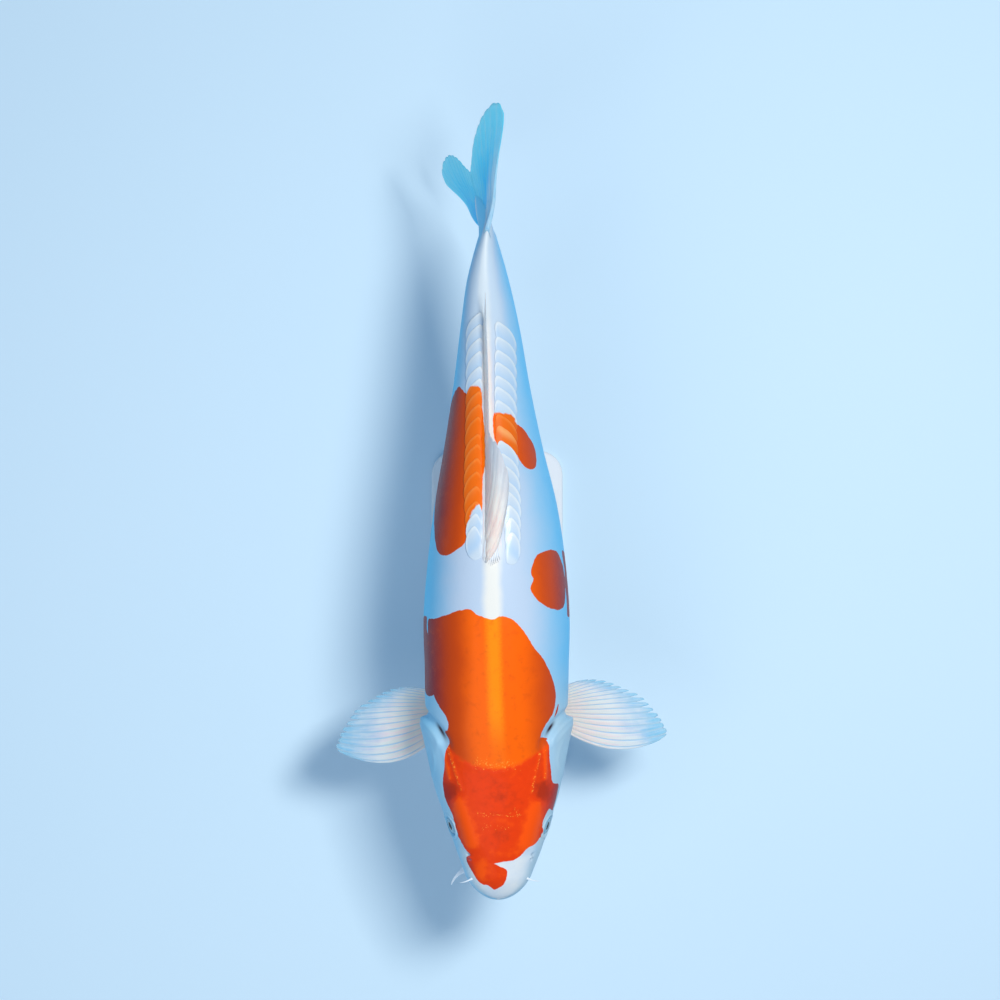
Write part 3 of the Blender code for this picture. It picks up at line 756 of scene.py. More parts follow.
relief = gill_height + socket_height + mouth_height + nostril_height
relief = relief + skull_height + trunk_relief(ALONG, AROUND)
skin_points = flesh + (relief * MM)[..., None] * outward
print("relief from", round(relief.min(), 2), "to", round(relief.max(), 2), "mm")

# %% [markdown]
# ## The skin's finish
# A wet fish has a clear gloss over soft colour. Under a broad light it is faint, so it is a thin
# coat here. The white is cool and pearly and bluer down the flanks, partly its own tint and partly
# painted shade and a painted blue reflection. A highlight is painted along the ridge of the back
# in white and orange alike. The orange is redder on the head and deeper down the flanks, partly
# painted shade. Fine mottling keeps each from being flat. The slits are the gills' dark red,
# painted near black as shade. The colours could each be a finish of their own, but white and
# orange meet within one skin, so one finish blends them by the distance to the edge.

# %% Colours of the skin
WHITE_RIDGE_HIGHLIGHT = (0.80, 0.79, 0.74)
WHITE_BACK = (0.50, 0.61, 0.75)
WHITE_SIDE = (0.32, 0.58, 0.80)
WHITE_FLANK = (0.11, 0.56, 0.90)
WHITE_PAINTED_SHADE_SIDE = (0.06, 0.66, 1.0)
WHITE_BELLY = (0.58, 0.70, 0.80)
WHITE_NOSE = (0.74, 0.80, 0.84)
WHITE_PEARL = (0.86, 0.86, 0.82)
CORD_ROSE = (0.80, 0.64, 0.62)
WHITE_CHEEK = (0.48, 0.62, 0.68)
ROOT_BLUE = (0.12, 0.60, 0.90)
STALK_PALE = (0.56, 0.68, 0.78)
ORANGE_RIDGE_HIGHLIGHT = (1.0, 0.255, 0.004)
ORANGE_BACK = (0.96, 0.128, 0.002)
ORANGE_SIDE = (0.60, 0.064, 0.006)
ORANGE_FLANK = (0.24, 0.010, 0.022)
ORANGE_BELLY = (0.62, 0.046, 0.006)
RED_HEAD = (0.84, 0.050, 0.004)
RED_BRIGHT = (1.0, 0.090, 0.004)
RED_DEEP = (0.50, 0.032, 0.006)
SPECK = (1.0, 0.36, 0.05)
SLIT_RED_AND_SHADE = (0.035, 0.004, 0.008)
PAINTED_SHADE_BLUE = (0.20, 0.30, 0.40)
# The painted ridge highlight and the bands of colour down the sides are centred this many degrees towards
# the key lamp.
RIDGE_SHIFT = 2.5
print("the ridge of the back lies", RIDGE_SHIFT, "degrees to the fish's left")

# %% [markdown]
# The white is a chain of blends. Each next colour takes over where its own mask says so: a painted
# highlight over the ridge, blue down the sides, partly tint and partly painted shade, a painted
# shade of saturated blue on the side away from the key lamp, then the belly, nose, cheeks and tail root.

# %% The white
def white_skin(finish, along, around, turn, patchy, cloud):
    """The white: a painted highlight on the ridge, pearl on back and snout, blue down the flanks,
    partly its own tint and partly painted shade and reflection, a painted shade of saturated blue
    on the side away from the key lamp, and milky again on the belly.

    Turn is degrees from the ridge of the back, and patchy the same made uneven by clouds.
    """
    # Painted highlight: a paler, warmer white along the ridge of the back, none on the snout.
    off_ridge_highlight = (turn * (1 - 0.62 * along.step(450, 540)) + (cloud - 0.5) * 5).step(2.5, 9.5)
    off_ridge_highlight = off_ridge_highlight + (1 - off_ridge_highlight) * along.step(75, 40)
    stalk = along.step(455, 530)
    white = finish.blend(off_ridge_highlight, finish.blend(stalk * 0.7, WHITE_RIDGE_HIGHLIGHT, STALK_PALE), WHITE_BACK)
    white = finish.blend(stalk * patchy.step(48, 24) * off_ridge_highlight * 0.8, white, STALK_PALE)
    # Bluer down the sides: partly the skin's own tint, partly painted shade and a painted blue
    # reflection.
    bluer = patchy - stalk * 9
    white = finish.blend(bluer.step(22, 52), white, WHITE_SIDE)
    white = finish.blend(bluer.step(42, 84), white, WHITE_FLANK)
    cords = finish.grain(around * 0.8, along * 0.05, 3.0)
    beside_fin = turn.step(12, 5) * along.step(292, 312) * along.step(500, 470)
    white = finish.blend(beside_fin * (cords - 0.46).step(0.0, 0.12) * 0.6, white, CORD_ROSE)
    # Painted shade: a more saturated blue on the fish's right, away from the key lamp, strongest behind
    # the head.
    painted_shade_side = around.step(-38, -78) * (0.35 + 0.65 * along.step(160, 240))
    white = finish.blend(painted_shade_side * 0.8, white, WHITE_PAINTED_SHADE_SIDE)
    white = finish.blend((turn + (cloud - 0.5) * 5).step(86, 122), white, WHITE_BELLY)
    white = finish.blend(along.step(62, 30) * patchy.step(80, 40) * 0.6, white, WHITE_NOSE)
    pearl = (cloud * 1.8 - 0.5).step(0, 0.8) * along.step(115, 55) * patchy.step(95, 50)
    white = finish.blend(pearl * 0.8, white, WHITE_PEARL)
    cheek = along.step(222, 150) * patchy.step(35, 60)
    white = finish.blend(cheek * (0.4 + 0.35 * around.step(0, 40)), white, WHITE_CHEEK)
    root = along.step(556, 588) * (around.step(-20, -45) + around.step(75, 100)) * turn.step(132, 100)
    return finish.blend(root, white, ROOT_BLUE)


# %% [markdown]
# The orange is made in the same way: a painted highlight along the ridge, and a deeper red down
# the flanks and on the side away from the key lamp, partly the pigment and partly painted shade.
# The head has its own reds, which follow the forms of the skull, partly as painted light and
# shade, and small bright specks along the canals.

# %% The orange
def orange_skin(finish, along, around, turn, patchy, cloud, fine, mottle):
    """The orange: a painted highlight on the ridge, maroon down the flanks and on the side away
    from the key lamp, partly pigment and partly painted shade, and scarlet on the head.
    """
    # Painted highlight: a brighter, yellower orange along the ridge, fading out on the head.
    off_ridge_highlight = (turn + (fine - 0.5) * 4).step(1.5, 8)
    off_ridge_highlight = off_ridge_highlight + (1 - off_ridge_highlight) * along.step(172, 128) * 0.85
    orange = finish.blend(off_ridge_highlight, ORANGE_RIDGE_HIGHLIGHT, ORANGE_BACK)
    # Painted shade: the orange deepens down the flanks, partly its own deeper red, and more on the fish's
    # right, away from the key lamp.
    shade_side = patchy + around.step(0, -30) * 15
    orange = finish.blend(shade_side.step(16, 50), orange, ORANGE_SIDE)
    orange = finish.blend(shade_side.step(46, 82), orange, ORANGE_FLANK)
    orange = finish.blend(patchy.step(84, 104), orange, ORANGE_BELLY)
    orange = finish.blend((mottle - 0.5).step(0.02, 0.3) * 0.35, orange, ORANGE_SIDE)
    # The head's red: brighter on the skull's raised bands and deeper in its hollows, partly its own tone
    # and partly painted light and shade.
    tone = finish.attribute("tone") * 1.25 + (cloud - 0.5) * 0.9 + (mottle - 0.5) * 1.1
    head = finish.blend(tone.step(-0.05, 0.7), RED_HEAD, RED_BRIGHT)
    head = finish.blend(tone.step(-0.05, -0.95), head, RED_DEEP)
    # The head's red also deepens to maroon down its sides, partly painted shade.
    head = finish.blend((turn + (cloud - 0.5) * 20).step(38, 78), head, ORANGE_FLANK)
    edge = finish.attribute("nape") + (cloud - 0.5) * 7 + (mottle - 0.5) * 6
    orange = finish.blend(edge.step(2.5, -2.5), orange, head)
    specks = (finish.noise(620, 2) + finish.attribute("specks") * 0.18).step(0.72, 0.80)
    return finish.blend(specks * finish.attribute("specks").step(0.1, 0.6) * 0.75, orange, SPECK)


# %% [markdown]
# White and orange are put together by the distance to the nearest edge of a marking. A little
# noise in the distance makes the edge waver as real pigment does. The scales use the same colours,
# so this part is a function, and what belongs to the skin alone follows it.

# %% Skin finish
def skin_colours(finish):
    """The colour of skin at a point, used by the skin and by the scales.

    Orange where the distance to the nearest marking's edge, shifted by up to two millimetres of
    noise, is below 0. Also gives the share of orange and two of the noises.
    """
    around = finish.attribute("around")
    turn = abs(around - RIDGE_SHIFT)
    cloud = finish.noise(38, 4)
    fine = finish.noise(700, 3)
    mottle = finish.noise(160, 3)
    wander = (finish.noise(95, 3) - 0.5) * 2.8 + (finish.noise(420, 2) - 0.5) * 0.9
    red = (finish.attribute("marking") + wander).step(0.35, -0.35)
    patchy = turn + (cloud - 0.5) * 14
    along = finish.attribute("along")
    white = white_skin(finish, along, around, turn, patchy, cloud)
    orange = orange_skin(finish, along, around, turn, patchy, cloud, fine, mottle)
    return finish.blend(red, white, orange), red, fine, cloud


skin_finish = Finish("koi_skin", Specular_IOR_Level=0.08, Coat_Weight=0.05, Coat_Roughness=0.15)
colour, red, fine, cloud = skin_colours(skin_finish)
shade = skin_finish.attribute("shade")
slit = skin_finish.attribute("slit")
# Painted shade: the mouth slit, lip folds, nostril pits and eye openings darken towards a shadow blue.
colour = skin_finish.blend(shade * 0.55, colour, PAINTED_SHADE_BLUE)
# The gill slits: the gills' own red, painted near black as shade in the slit.
skin_finish.set("Base Color", skin_finish.blend(slit, colour, SLIT_RED_AND_SHADE))
pores = skin_finish.noise(1500, 2)
skin_finish.set("Normal", skin_finish.relief(fine * 0.6 + pores * 0.4 + cloud * 2.0, 0.35 * MM, 0.5))
skin_finish.set("Roughness", 0.30 + fine * 0.14)
print("skin finish:", len(skin_finish.tree.nodes), "nodes")

# %% [markdown]
# The skin is one tube of rings, closed at the snout and in the tail root. Its unwrap is the plain
# unroll: along the body one way, round it the other, with the seam under the belly.

# %% The skin
UNROLL_MARGIN = 0.004


def skin_uv(along, around):
    """The unroll: shares of the whole length and of the whole turn, inside a thin margin."""
    share = np.broadcast_arrays(along / SKIN_END, 0.5 + around / (2 * math.pi))
    return UNROLL_MARGIN + (1 - 2 * UNROLL_MARGIN) * np.stack(share, -1)


def with_poles(data):
    """Point values of the grid, with those of the two poles behind them."""
    return np.concatenate([data.ravel(), [data[0].mean(), data[-1].mean()]])


# Where shade is painted: in the mouth slit, the lip folds, the nostril pits and the eye openings.
painted_shade_share = mouth_slit + 0.45 * lip_folds + 0.9 * nostril_pits + 0.06 * eye_opening
skin_values = {
    "along": ALONG / MM,
    "around": np.degrees(AROUND),
    "marking": marking(ALONG, AROUND),
    "nape": np.clip(nape_distance, -60, 60),
    "tone": head_tone(skull, flesh),
    "specks": speck_lines(skull, flesh),
    "shade": np.clip(painted_shade_share, 0, 1),
    "slit": np.clip(1.2 * gill_slit, 0, 1),
}
make_tube(
    "koi_skin", skin_points, np.stack([skin_points[0].mean(0), skin_points[-1].mean(0)]),
    skin_uv(rows, 0)[:, 0], skin_uv(0, np.append(columns, math.pi))[:, 1],
    {label: with_poles(data) for label, data in skin_values.items()}, skin_finish,
    replaces=("head", "lower_jaw", "gill_cover_left", "gill_cover_right", "trunk", "tail_stalk"),
)

# %% [markdown]
# ## Fins
# A fin is a fan of bony rays with thin skin stretched between them. It could be built ray by ray,
# as rods with skin between. One sheet is used, because the rays stand out from the skin only by
# some tenths of a millimetre. Each ray is a quadratic curve from its root in the flesh to its tip,
# so a fin is a function of two measures: the share across the fan and the share along the ray.
# Real rays split in two towards the margin. The same pattern gives the mesh its ridges and the
# finish its pale rays.

# %% From rays to a solid fin
RAY_SAMPLES = 8
FIN_STEPS = 44
SKIN_HALF, RAY_HEIGHT = 0.16, 0.36
UNWRAP_START, UNWRAP_LENGTH, UNWRAP_WIDTH = 0.01, 0.96, 0.47


def steady(value):
    """The same value all over a fan, from its first ray to its last."""
    return (0, value), (1, value)


def ray_ridge(phase, share):
    """1 on a ray, 0 between two. A ray splits in two towards the margin, by a shallow groove."""
    single = np.sqrt(0.5 + 0.5 * np.cos(2 * math.pi * phase))
    groove = 0.35 * (0.5 + 0.5 * np.cos(2 * math.pi * phase)) ** 6
    return single - groove * step_up(0.45, 0.75, share)


def fin_sides(across, phase, rays, root, place, notch):
    """The two sides of a fin, and how far each point lies along its ray.

    A point lies at (1-t)^2 base + 2t(1-t) control + t^2 tip, with t up to 1 on the rays and a
    little less between them. The sides stand off by half the thickness, square to the sheet.
    """
    base, control, tip = rays(across)
    gap = (0.5 - 0.5 * np.cos(2 * math.pi * phase)) ** 3
    wear = 0.3 + 0.7 * np.sin(2.4 * np.round(phase)) ** 2
    full = 1 - through(across, *notch) * (gap + 0.3 * wear)
    share = np.linspace(0, 1, FIN_STEPS)[None, :] * full[:, None]
    t = share[..., None]
    middle = (1 - t) ** 2 * base[:, None] + 2 * t * (1 - t) * control[:, None] + t**2 * tip[:, None]
    middle = place(middle) if place else middle
    sideways = unit(np.cross(np.gradient(middle, axis=0), np.gradient(middle, axis=1)))
    ridge = ray_ridge(phase[:, None], share)
    margin = np.minimum(1 - share, np.minimum(across, 1 - across)[:, None] * 6 + 0.15)
    rim = step_up(0, 0.1, margin + 0.02)
    root_half = through(across, *root)[:, None]
    half = SKIN_HALF + (root_half - SKIN_HALF) * (1 - share) ** 2.2
    half = (half + RAY_HEIGHT * ridge * (1 - 0.6 * share) * rim) * MM
    return middle + half[..., None] * sideways, middle - half[..., None] * sideways, share


def make_fin(name, ray_count, rays, root, finish, place=None, notch=steady(0.02), replaces=()):
    """A closed fin: the fan of rays as a sheet, thick at the root and thin at the margin.

    Root is half the thickness at the roots, in mm, and notch the share of a ray's length by which
    the skin falls short between the rays. Both are (share across the fan, value) pairs. Place
    lays a flat fan onto a twisted surface.
    """
    ray_columns = ray_count * RAY_SAMPLES + 1
    across = np.linspace(0, 1, ray_columns)
    phase = across * ray_count
    upper, lower, share = fin_sides(across, phase, rays, root, place, notch)
    quads = sheet_quads(ray_columns, FIN_STEPS)
    count = ray_columns * FIN_STEPS
    point_uv = np.stack([
        np.tile(UNWRAP_START + UNWRAP_LENGTH * np.linspace(0, 1, FIN_STEPS), ray_columns),
        np.repeat(UNWRAP_START + UNWRAP_WIDTH * across, FIN_STEPS),
    ], -1)
    uv = point_uv[quads % count]
    uv[(quads >= count).all(1)] += (0.0, 0.5)
    values = {
        "phase": np.tile(np.broadcast_to(phase[:, None], share.shape).ravel(), 2),
        "reach": np.tile(share.ravel(), 2),
    }
    points = np.concatenate([upper.reshape(-1, 3), lower.reshape(-1, 3)])
    make_piece(name, points, [(quads, uv)], values, finish, replaces=replaces, slot="fin_skin")


print("a fin of 16 rays has", len(sheet_quads(16 * RAY_SAMPLES + 1, FIN_STEPS)), "faces")

# %% [markdown]
# A fan is written as a function too: for a share across it, from the first ray to the last, it
# gives where the ray starts, where it ends, and the point that bends it. The fans follow the
# solids, so that roots and tips are the same to within a few millimetres. The roots are sunk a
# little into the flesh.

# %% Roots and directions of rays
SUNK = -2.0 * MM


def leaning(rise, lean):
    """A direction that climbs from +Y by its rise and leans from +Z towards +X by its lean."""
    return np.stack([np.sin(rise) * np.sin(lean), np.cos(rise), np.sin(rise) * np.cos(lean)], axis=-1)


def outwards(side, turn, drop):
    """Directions turned from +Y towards one side by their turn, sinking by their drop."""
    return np.stack([side * np.sin(turn), np.cos(turn), np.full(turn.shape, -drop)], axis=-1)


def rooted(along, around):
    """Roots of rays on the body, sunk into it."""
    return body_point(along, around) + SUNK * body_normal(along, around)


def longest(rays):
    """Length in mm of the longest ray of a fan, measured straight from root to tip."""
    base, _, tip = rays(np.linspace(0, 1, 101))
    return round(float(np.linalg.norm(tip - base, axis=-1).max() / MM), 1)


# %% [markdown]
# The dorsal fin is folded down, as on a carp that glides. All its rays lie back. The long ones in
# front also lean far to the fish's left, the last ones hardly at all. The skin of the folded front
# gathers into small folds that fan out over the back.

# %% The dorsal fin and its folds
DORSAL_START, DORSAL_LENGTH = 296, 201
FOLD_ROOT, FOLD_TIP = 320, 293
FOLD_ROOT_SIDE, FOLD_TIP_SIDE = (4.0, 1.5), (8.2, 3.0)
FOLD_RISE, FOLD_ARCH = 1.5, 1.2


def dorsal_rays(share):
    """The long fin of the back, folded down: longest in front, leaning towards +X."""
    along = (DORSAL_START + share * DORSAL_LENGTH) * MM
    base = rooted(along, np.zeros_like(along))
    length = MM * through(share, (0, 26), (0.05, 66), (0.1, 77), (0.2, 68), (0.35, 47),
                          (0.6, 40), (1, 35))
    rake = np.radians(through(share, (0, 26), (0.05, 20), (1, 19)))
    lean = np.radians(through(share, (0, 67), (0.05, 50), (0.1, 33), (0.2, 19), (0.6, 18),
                              (0.8, 8), (1, 4)))
    tip = base + length[:, None] * leaning(rake, lean)
    control = base + 0.5 * length[:, None] * leaning(rake + math.radians(14), 0.8 * lean)
    return base, control, tip


def front_folds(share):
    """Folds of skin at the front of the back fin, which fan out towards the head.

    The sides are (half width, shift towards +X) of the fan in mm, at its roots and at its tips.
    The fan rises to the fold rise in its middle, and each fold is arched.
    """
    spread = 2 * share - 1
    start = np.full_like(share, FOLD_ROOT * MM)
    end = (FOLD_TIP + 5 * spread**2) * MM
    turn = 1 / girth(end, np.ones_like(end))
    root_turn = (FOLD_ROOT_SIDE[0] * spread + FOLD_ROOT_SIDE[1]) * turn
    tip_turn = (FOLD_TIP_SIDE[0] * spread + FOLD_TIP_SIDE[1]) * turn
    above = (FOLD_RISE * (1 - spread**2) * MM)[:, None]
    base = body_point(start, root_turn) + above * body_normal(start, root_turn)
    tip = body_point(end, tip_turn) + (0.5 * above + 0.5 * MM) * body_normal(end, tip_turn)
    return base, 0.5 * (base + tip) + np.array([0, 0, FOLD_ARCH * MM]), tip


print("dorsal rays up to", longest(dorsal_rays), "mm, folds up to", longest(front_folds), "mm")

# %% [markdown]
# Under the body are one anal fin, a stiff blade behind the vent, and a pair of hip fins, which
# trail back and down when the fish is at rest.

# %% Anal and hip fins
ANAL_START, ANAL_LENGTH = 444, 46
PELVIC_START, PELVIC_LENGTH = 291, 10


def anal_rays(share):
    """The short fin under the tail stalk, swept back and swung towards -X."""
    along = (ANAL_START + share * ANAL_LENGTH) * MM
    base = rooted(along, np.full_like(along, math.pi))
    length = MM * through(share, (0, 34), (0.15, 80), (0.3, 76), (1, 40))
    rake = np.radians(through(share, (0, 42), (1, 26)))
    lean = np.radians(through(share, (0, 32), (1, 24)))
    direction = leaning(-rake, lean)
    control = base + 0.5 * length[:, None] * (direction + np.array([0.06, -0.1, -0.12]))
    return base, control, base + length[:, None] * direction


def pelvic_rays(side):
    """A hip fin: low on the belly, trailing back and down."""
    def rays(share):
        along = (PELVIC_START + share * PELVIC_LENGTH) * MM
        around = side * np.radians(through(share, (0, 148), (1, 160)))
        base = rooted(along, around)
        length = MM * through(share, (0, 62), (0.2, 68), (0.7, 54), (1, 38))
        turn = np.radians(through(share, (0, 10), (1, -15)))
        tip = base + length[:, None] * outwards(side, turn, 0.6)
        return base, base + 0.42 * length[:, None] * outwards(side, 1.8 * turn, 0.6), tip
    return rays


print("anal rays up to", longest(anal_rays), "mm, hip rays up to", longest(pelvic_rays(1)), "mm")

# %% [markdown]
# The breast fins are the carp's brakes, spread wide and level. All their rays grow from one short
# root, so the directions are set ray by ray: how each leaves the body and where it ends.

# %% Breast fins
PECTORAL_START, PECTORAL_LENGTH, PECTORAL_AROUND = 155, 22, 134
PECTORAL_DROP = 3 * MM


def pectoral_rays(side, swing, lead, trail, hind):
    """A breast fin, spread flat like an oar blade and turned back by its swing.

    Lead and hind are the directions, in degrees from the tail, in which the first and the last
    ray leave the body, and trail the one in which the last ray ends.
    """
    def rays(share):
        along = (PECTORAL_START + share * PECTORAL_LENGTH) * MM
        around = np.full_like(share, side * math.radians(PECTORAL_AROUND))
        base = rooted(along, around)
        reach = MM * through(share, (0, 101), (0.08, 106), (0.2, 101), (0.45, 88), (0.7, 65), (1, 34))
        aim = through(share, (0, 115), (0.08, 111), (0.33, 101), (0.55, 90), (0.7, 81), (1, trail))
        fan = through(share, (0, lead), (0.5, 92), (1, hind))
        bend = reach * through(share, (0, 0.65), (0.4, 0.5), (1, 0.45))
        drop = np.array([0, 0, PECTORAL_DROP])
        middle = base.mean(axis=0) - drop - SUNK * body_normal(along[:1], around[:1])[0]
        tip = middle + reach[:, None] * outwards(side, np.radians(aim) - swing, 0)
        control = base - drop + bend[:, None] * outwards(side, np.radians(fan) - swing, 0)
        return base, control, tip
    return rays


BREAST_FINS = {
    "left": pectoral_rays(1, math.radians(8), 137, 55, 62),
    "right": pectoral_rays(-1, 0.0, 148, 59, 72),
}
print("breast rays up to", {word: longest(rays) for word, rays in BREAST_FINS.items()}, "mm")

# %% [markdown]
# The tail fin is forked. Its fan is drawn flat, as (distance behind the body, height), and then
# laid onto the twist of the tail, so the twist is written only once, for fin and skin alike.

# %% The tail fin
TAIL_FORK = 55.5 * MM


def in_tail(flat):
    """From (distance behind the body, height) to a point of the twisted tail fin."""
    behind, height = flat[..., 0], flat[..., 1]
    x = tail_swing(behind, height)
    return np.stack([x, SNOUT_Y + BODY_END + behind, AXIS_HEIGHT + height], axis=-1)


def tail_rays(side, tip_behind, tip_height):
    """One lobe of the tail fin, above (side 1) or below (side -1) the fork.

    The rays reach from the fork out to the tip, and turn from level to the slope of the tip.
    """
    root_height = station(BACK if side > 0 else BELLY, BODY_END) * MM
    tip_reach = math.hypot(tip_behind, tip_height)
    tip_turn = math.atan2(tip_height, tip_behind)

    def rays(share):
        growth = through(share, (0, 0), (0.2, 0.15), (0.4, 0.42), (0.7, 0.81), (0.86, 0.99),
                         (0.92, 1), (1, 0.93))
        reach = TAIL_FORK + (tip_reach - TAIL_FORK) * growth
        turn = tip_turn * through(share, (0, 0), (0.4, 0.45), (0.7, 0.77), (0.88, 1), (1, 1.13))
        base = np.stack([np.full_like(share, -4 * MM), side * 0.92 * root_height * share], axis=-1)
        tip = np.stack([reach * np.cos(turn), side * reach * np.sin(turn)], axis=-1)
        control = base + (tip - base) * np.array([0.45, 0.42])
        return base, control, tip
    return rays


UPPER_LOBE = tail_rays(1, 111 * MM, 70 * MM)
LOWER_LOBE = tail_rays(-1, 64 * MM, 89 * MM)
print("tail rays up to", longest(UPPER_LOBE), "and", longest(LOWER_LOBE), "mm")

# %% [markdown]
# ## The finish of the fins
# The rays are pale and firm, the skin between them thin and clearer. Light sinks into a fin, so
# the finish scatters it below the surface. Towards the margin a fin lets more of what is behind it
# through. Glass would bend that too, but the skin is too thin for it, so a share of transparency
# is enough. The folds in front of the back fin are plain strands, light and bluish by turns.

# %% Fin finish
CREAM = (0.66, 0.62, 0.57)
ROSY = (0.76, 0.57, 0.55)
CLEAR_BLUE = (0.07, 0.36, 0.63)
GAP_BLUE = (0.22, 0.44, 0.66)
TAIL_BLUE = (0.03, 0.48, 0.92)
TAIL_DEEP = (0.05, 0.45, 0.86)
TAIL_STREAK, TAIL_STREAK_LOW = (0.11, 0.55, 0.84), (0.08, 0.52, 0.88)
STREAK_BLUE = (0.20, 0.53, 0.77)
STREAK_PALE = (0.56, 0.67, 0.75)
SALMON = (0.97, 0.76, 0.68)
SALMON_DEEP = (0.96, 0.64, 0.59)
SALMON_GAP = (0.76, 0.60, 0.57)
SALMON_TIP = (0.78, 0.66, 0.63)
FOLD_BLUE = (0.56, 0.67, 0.78)
FOLD_PALE = (0.84, 0.81, 0.79)
JOINTS_PER_RAY = 46
UPPER_EDGE, NO_EDGE = (3.4, 5.4), (90, 91)


def fin_finish(name, ray, rosy, gap, tip, solid_tip, gap_depth, edge=NO_EDGE):
    """Broad pale rays with fine streaks, thin darker gaps that widen outwards, and a clearer tip.

    Solid tip is the share of the margin that stays solid. Phases beyond the edge's pair of
    numbers, counted in rays, carry the white of the body.
    """
    finish = Finish(name, Specular_IOR_Level=0.15, Coat_Weight=0.06, Coat_Roughness=0.25,
                    Subsurface_Weight=1.0, Subsurface_Radius=(1.0, 0.9, 0.8), Subsurface_Scale=8 * MM)
    phase = finish.attribute("phase")
    reach = finish.attribute("reach")
    uneven = finish.noise(45, 3)
    streaks = finish.grain(phase * 2.6, reach * 3.0, 4.0)
    on_ray = 0.5 + 0.5 * ((phase + (uneven - 0.5) * 0.10) * (2 * math.pi)).wave()
    width = 0.02 + 0.26 * reach
    gaps = on_ray.step(width, width * 0.15)
    outer = (reach + (uneven - 0.5) * 0.45 + (streaks - 0.5) * 0.35).step(0.55, 1.02)
    colour = finish.blend((streaks - 0.05 + (uneven - 0.5) * 0.6).step(0.35, 0.65), ray, rosy)
    colour = finish.blend(outer, colour, tip)
    colour = finish.blend(gaps * gap_depth * reach.step(0.02, 0.5), colour, gap)
    body_white = (phase - reach * 6).step(*edge) * (reach + (streaks - 0.5) * 0.3).step(0.95, 0.30)
    white_streak = finish.blend((streaks - 0.3).step(0.0, 0.4), STREAK_BLUE, STREAK_PALE)
    finish.set("Base Color", finish.blend(body_white, colour, white_streak))
    joints = (reach * (2 * math.pi * JOINTS_PER_RAY) + uneven * 9).wave()
    clear = (outer * 0.6 + gaps * 0.6 * reach.step(0.3, 0.9)) * (1 - solid_tip)
    finish.set("Alpha", 1 - clear)
    finish.set("Roughness", 0.48 + 0.12 * gaps)
    finish.set("Normal", finish.relief(streaks * 1.4 - gaps + 0.1 * joints, 0.3 * MM, 0.5))
    return finish


breast_fin_finish = fin_finish("koi_breast_fin", CREAM, ROSY, GAP_BLUE, CLEAR_BLUE, 0.85, 0.75)
belly_fin_finish = fin_finish("koi_belly_fin", CREAM, WHITE_SIDE, GAP_BLUE, CLEAR_BLUE, 0.5, 0.5)
back_fin_finish = fin_finish("koi_back_fin", SALMON, SALMON_DEEP, SALMON_GAP, SALMON_TIP, 0.95, 0.55)
upper_tail_finish = fin_finish("koi_tail_fin", TAIL_BLUE, TAIL_STREAK, TAIL_DEEP, TAIL_BLUE,
                               1.0, 0.22, UPPER_EDGE)
lower_tail_finish = fin_finish("koi_tail_fin_low", TAIL_BLUE, TAIL_STREAK_LOW, TAIL_DEEP, TAIL_BLUE,
                               1.0, 0.35)
fold_finish = Finish("koi_fold", Roughness=0.5, Specular_IOR_Level=0.15)
strand = 0.5 + 0.5 * (fold_finish.attribute("phase") * (2 * math.pi)).wave()
fold_finish.set("Base Color", fold_finish.blend(strand, FOLD_BLUE, FOLD_PALE))
print("finishes:", [material.name for material in bpy.data.materials if material.name.startswith("koi")])

# %% [markdown]
# Each fin gets its number of rays, its fan, the thickness of its root and the shape of its margin.
# The breast fins are worn between the rays of their hind half. The tail's two lobes share one fan,
# turned over for the lower one, and are laid onto the twist of the tail.

# %% The fins
BREAST_NOTCH = ((0, 0.01), (0.25, 0.03), (0.4, 0.085), (0.8, 0.085), (1, 0.05))
make_fin("koi_dorsal_fin", 20, dorsal_rays, ((0, 4.2), (0.3, 3.0), (1, 1.5)), back_fin_finish,
         replaces=("dorsal_fin",))
make_fin("koi_dorsal_folds", 9, front_folds, steady(0.7), fold_finish, notch=steady(0.22))
make_fin("koi_anal_fin", 8, anal_rays, steady(1.5), belly_fin_finish, replaces=("anal_fin",))
for word, side in (("left", 1), ("right", -1)):
    make_fin(f"koi_pelvic_fin_{word}", 9, pelvic_rays(side), steady(1.4), belly_fin_finish,
             replaces=(f"pelvic_fin_{word}",))
    make_fin(f"koi_pectoral_fin_{word}", 16, BREAST_FINS[word], steady(1.9), breast_fin_finish,
             notch=BREAST_NOTCH, replaces=(f"pectoral_fin_{word}",))
for word, lobe, notch, finish in (
    ("upper", UPPER_LOBE, 0.008, upper_tail_finish),
    ("lower", LOWER_LOBE, 0.012, lower_tail_finish),
):
    make_fin(f"koi_tail_fin_{word}", 10, lobe, steady(2.4), finish, place=in_tail,
             notch=steady(notch), replaces=(f"tail_fin_{word}",))

# %% [markdown]
# ## Mirror scales
# A koi of this kind keeps one row of big scales along each side of the dorsal fin. Each scale is
# a thin rounded plate that overlaps the next one behind it, like roof tiles. They could be a
# pattern in the finish, but a real scale stands off the skin and its free edge catches the light.
# All scales of a row come from one formula over an array of roots, and are joined into one mesh.

# %% Scales
SCALE_THICKNESS = 0.4
SCALE_LENGTH = 25 * MM
SCALE_ROWS, SCALE_COLUMNS = 13, 13
SCALE_SHEAR = 0.26
SCALE_PATCH = 0.003


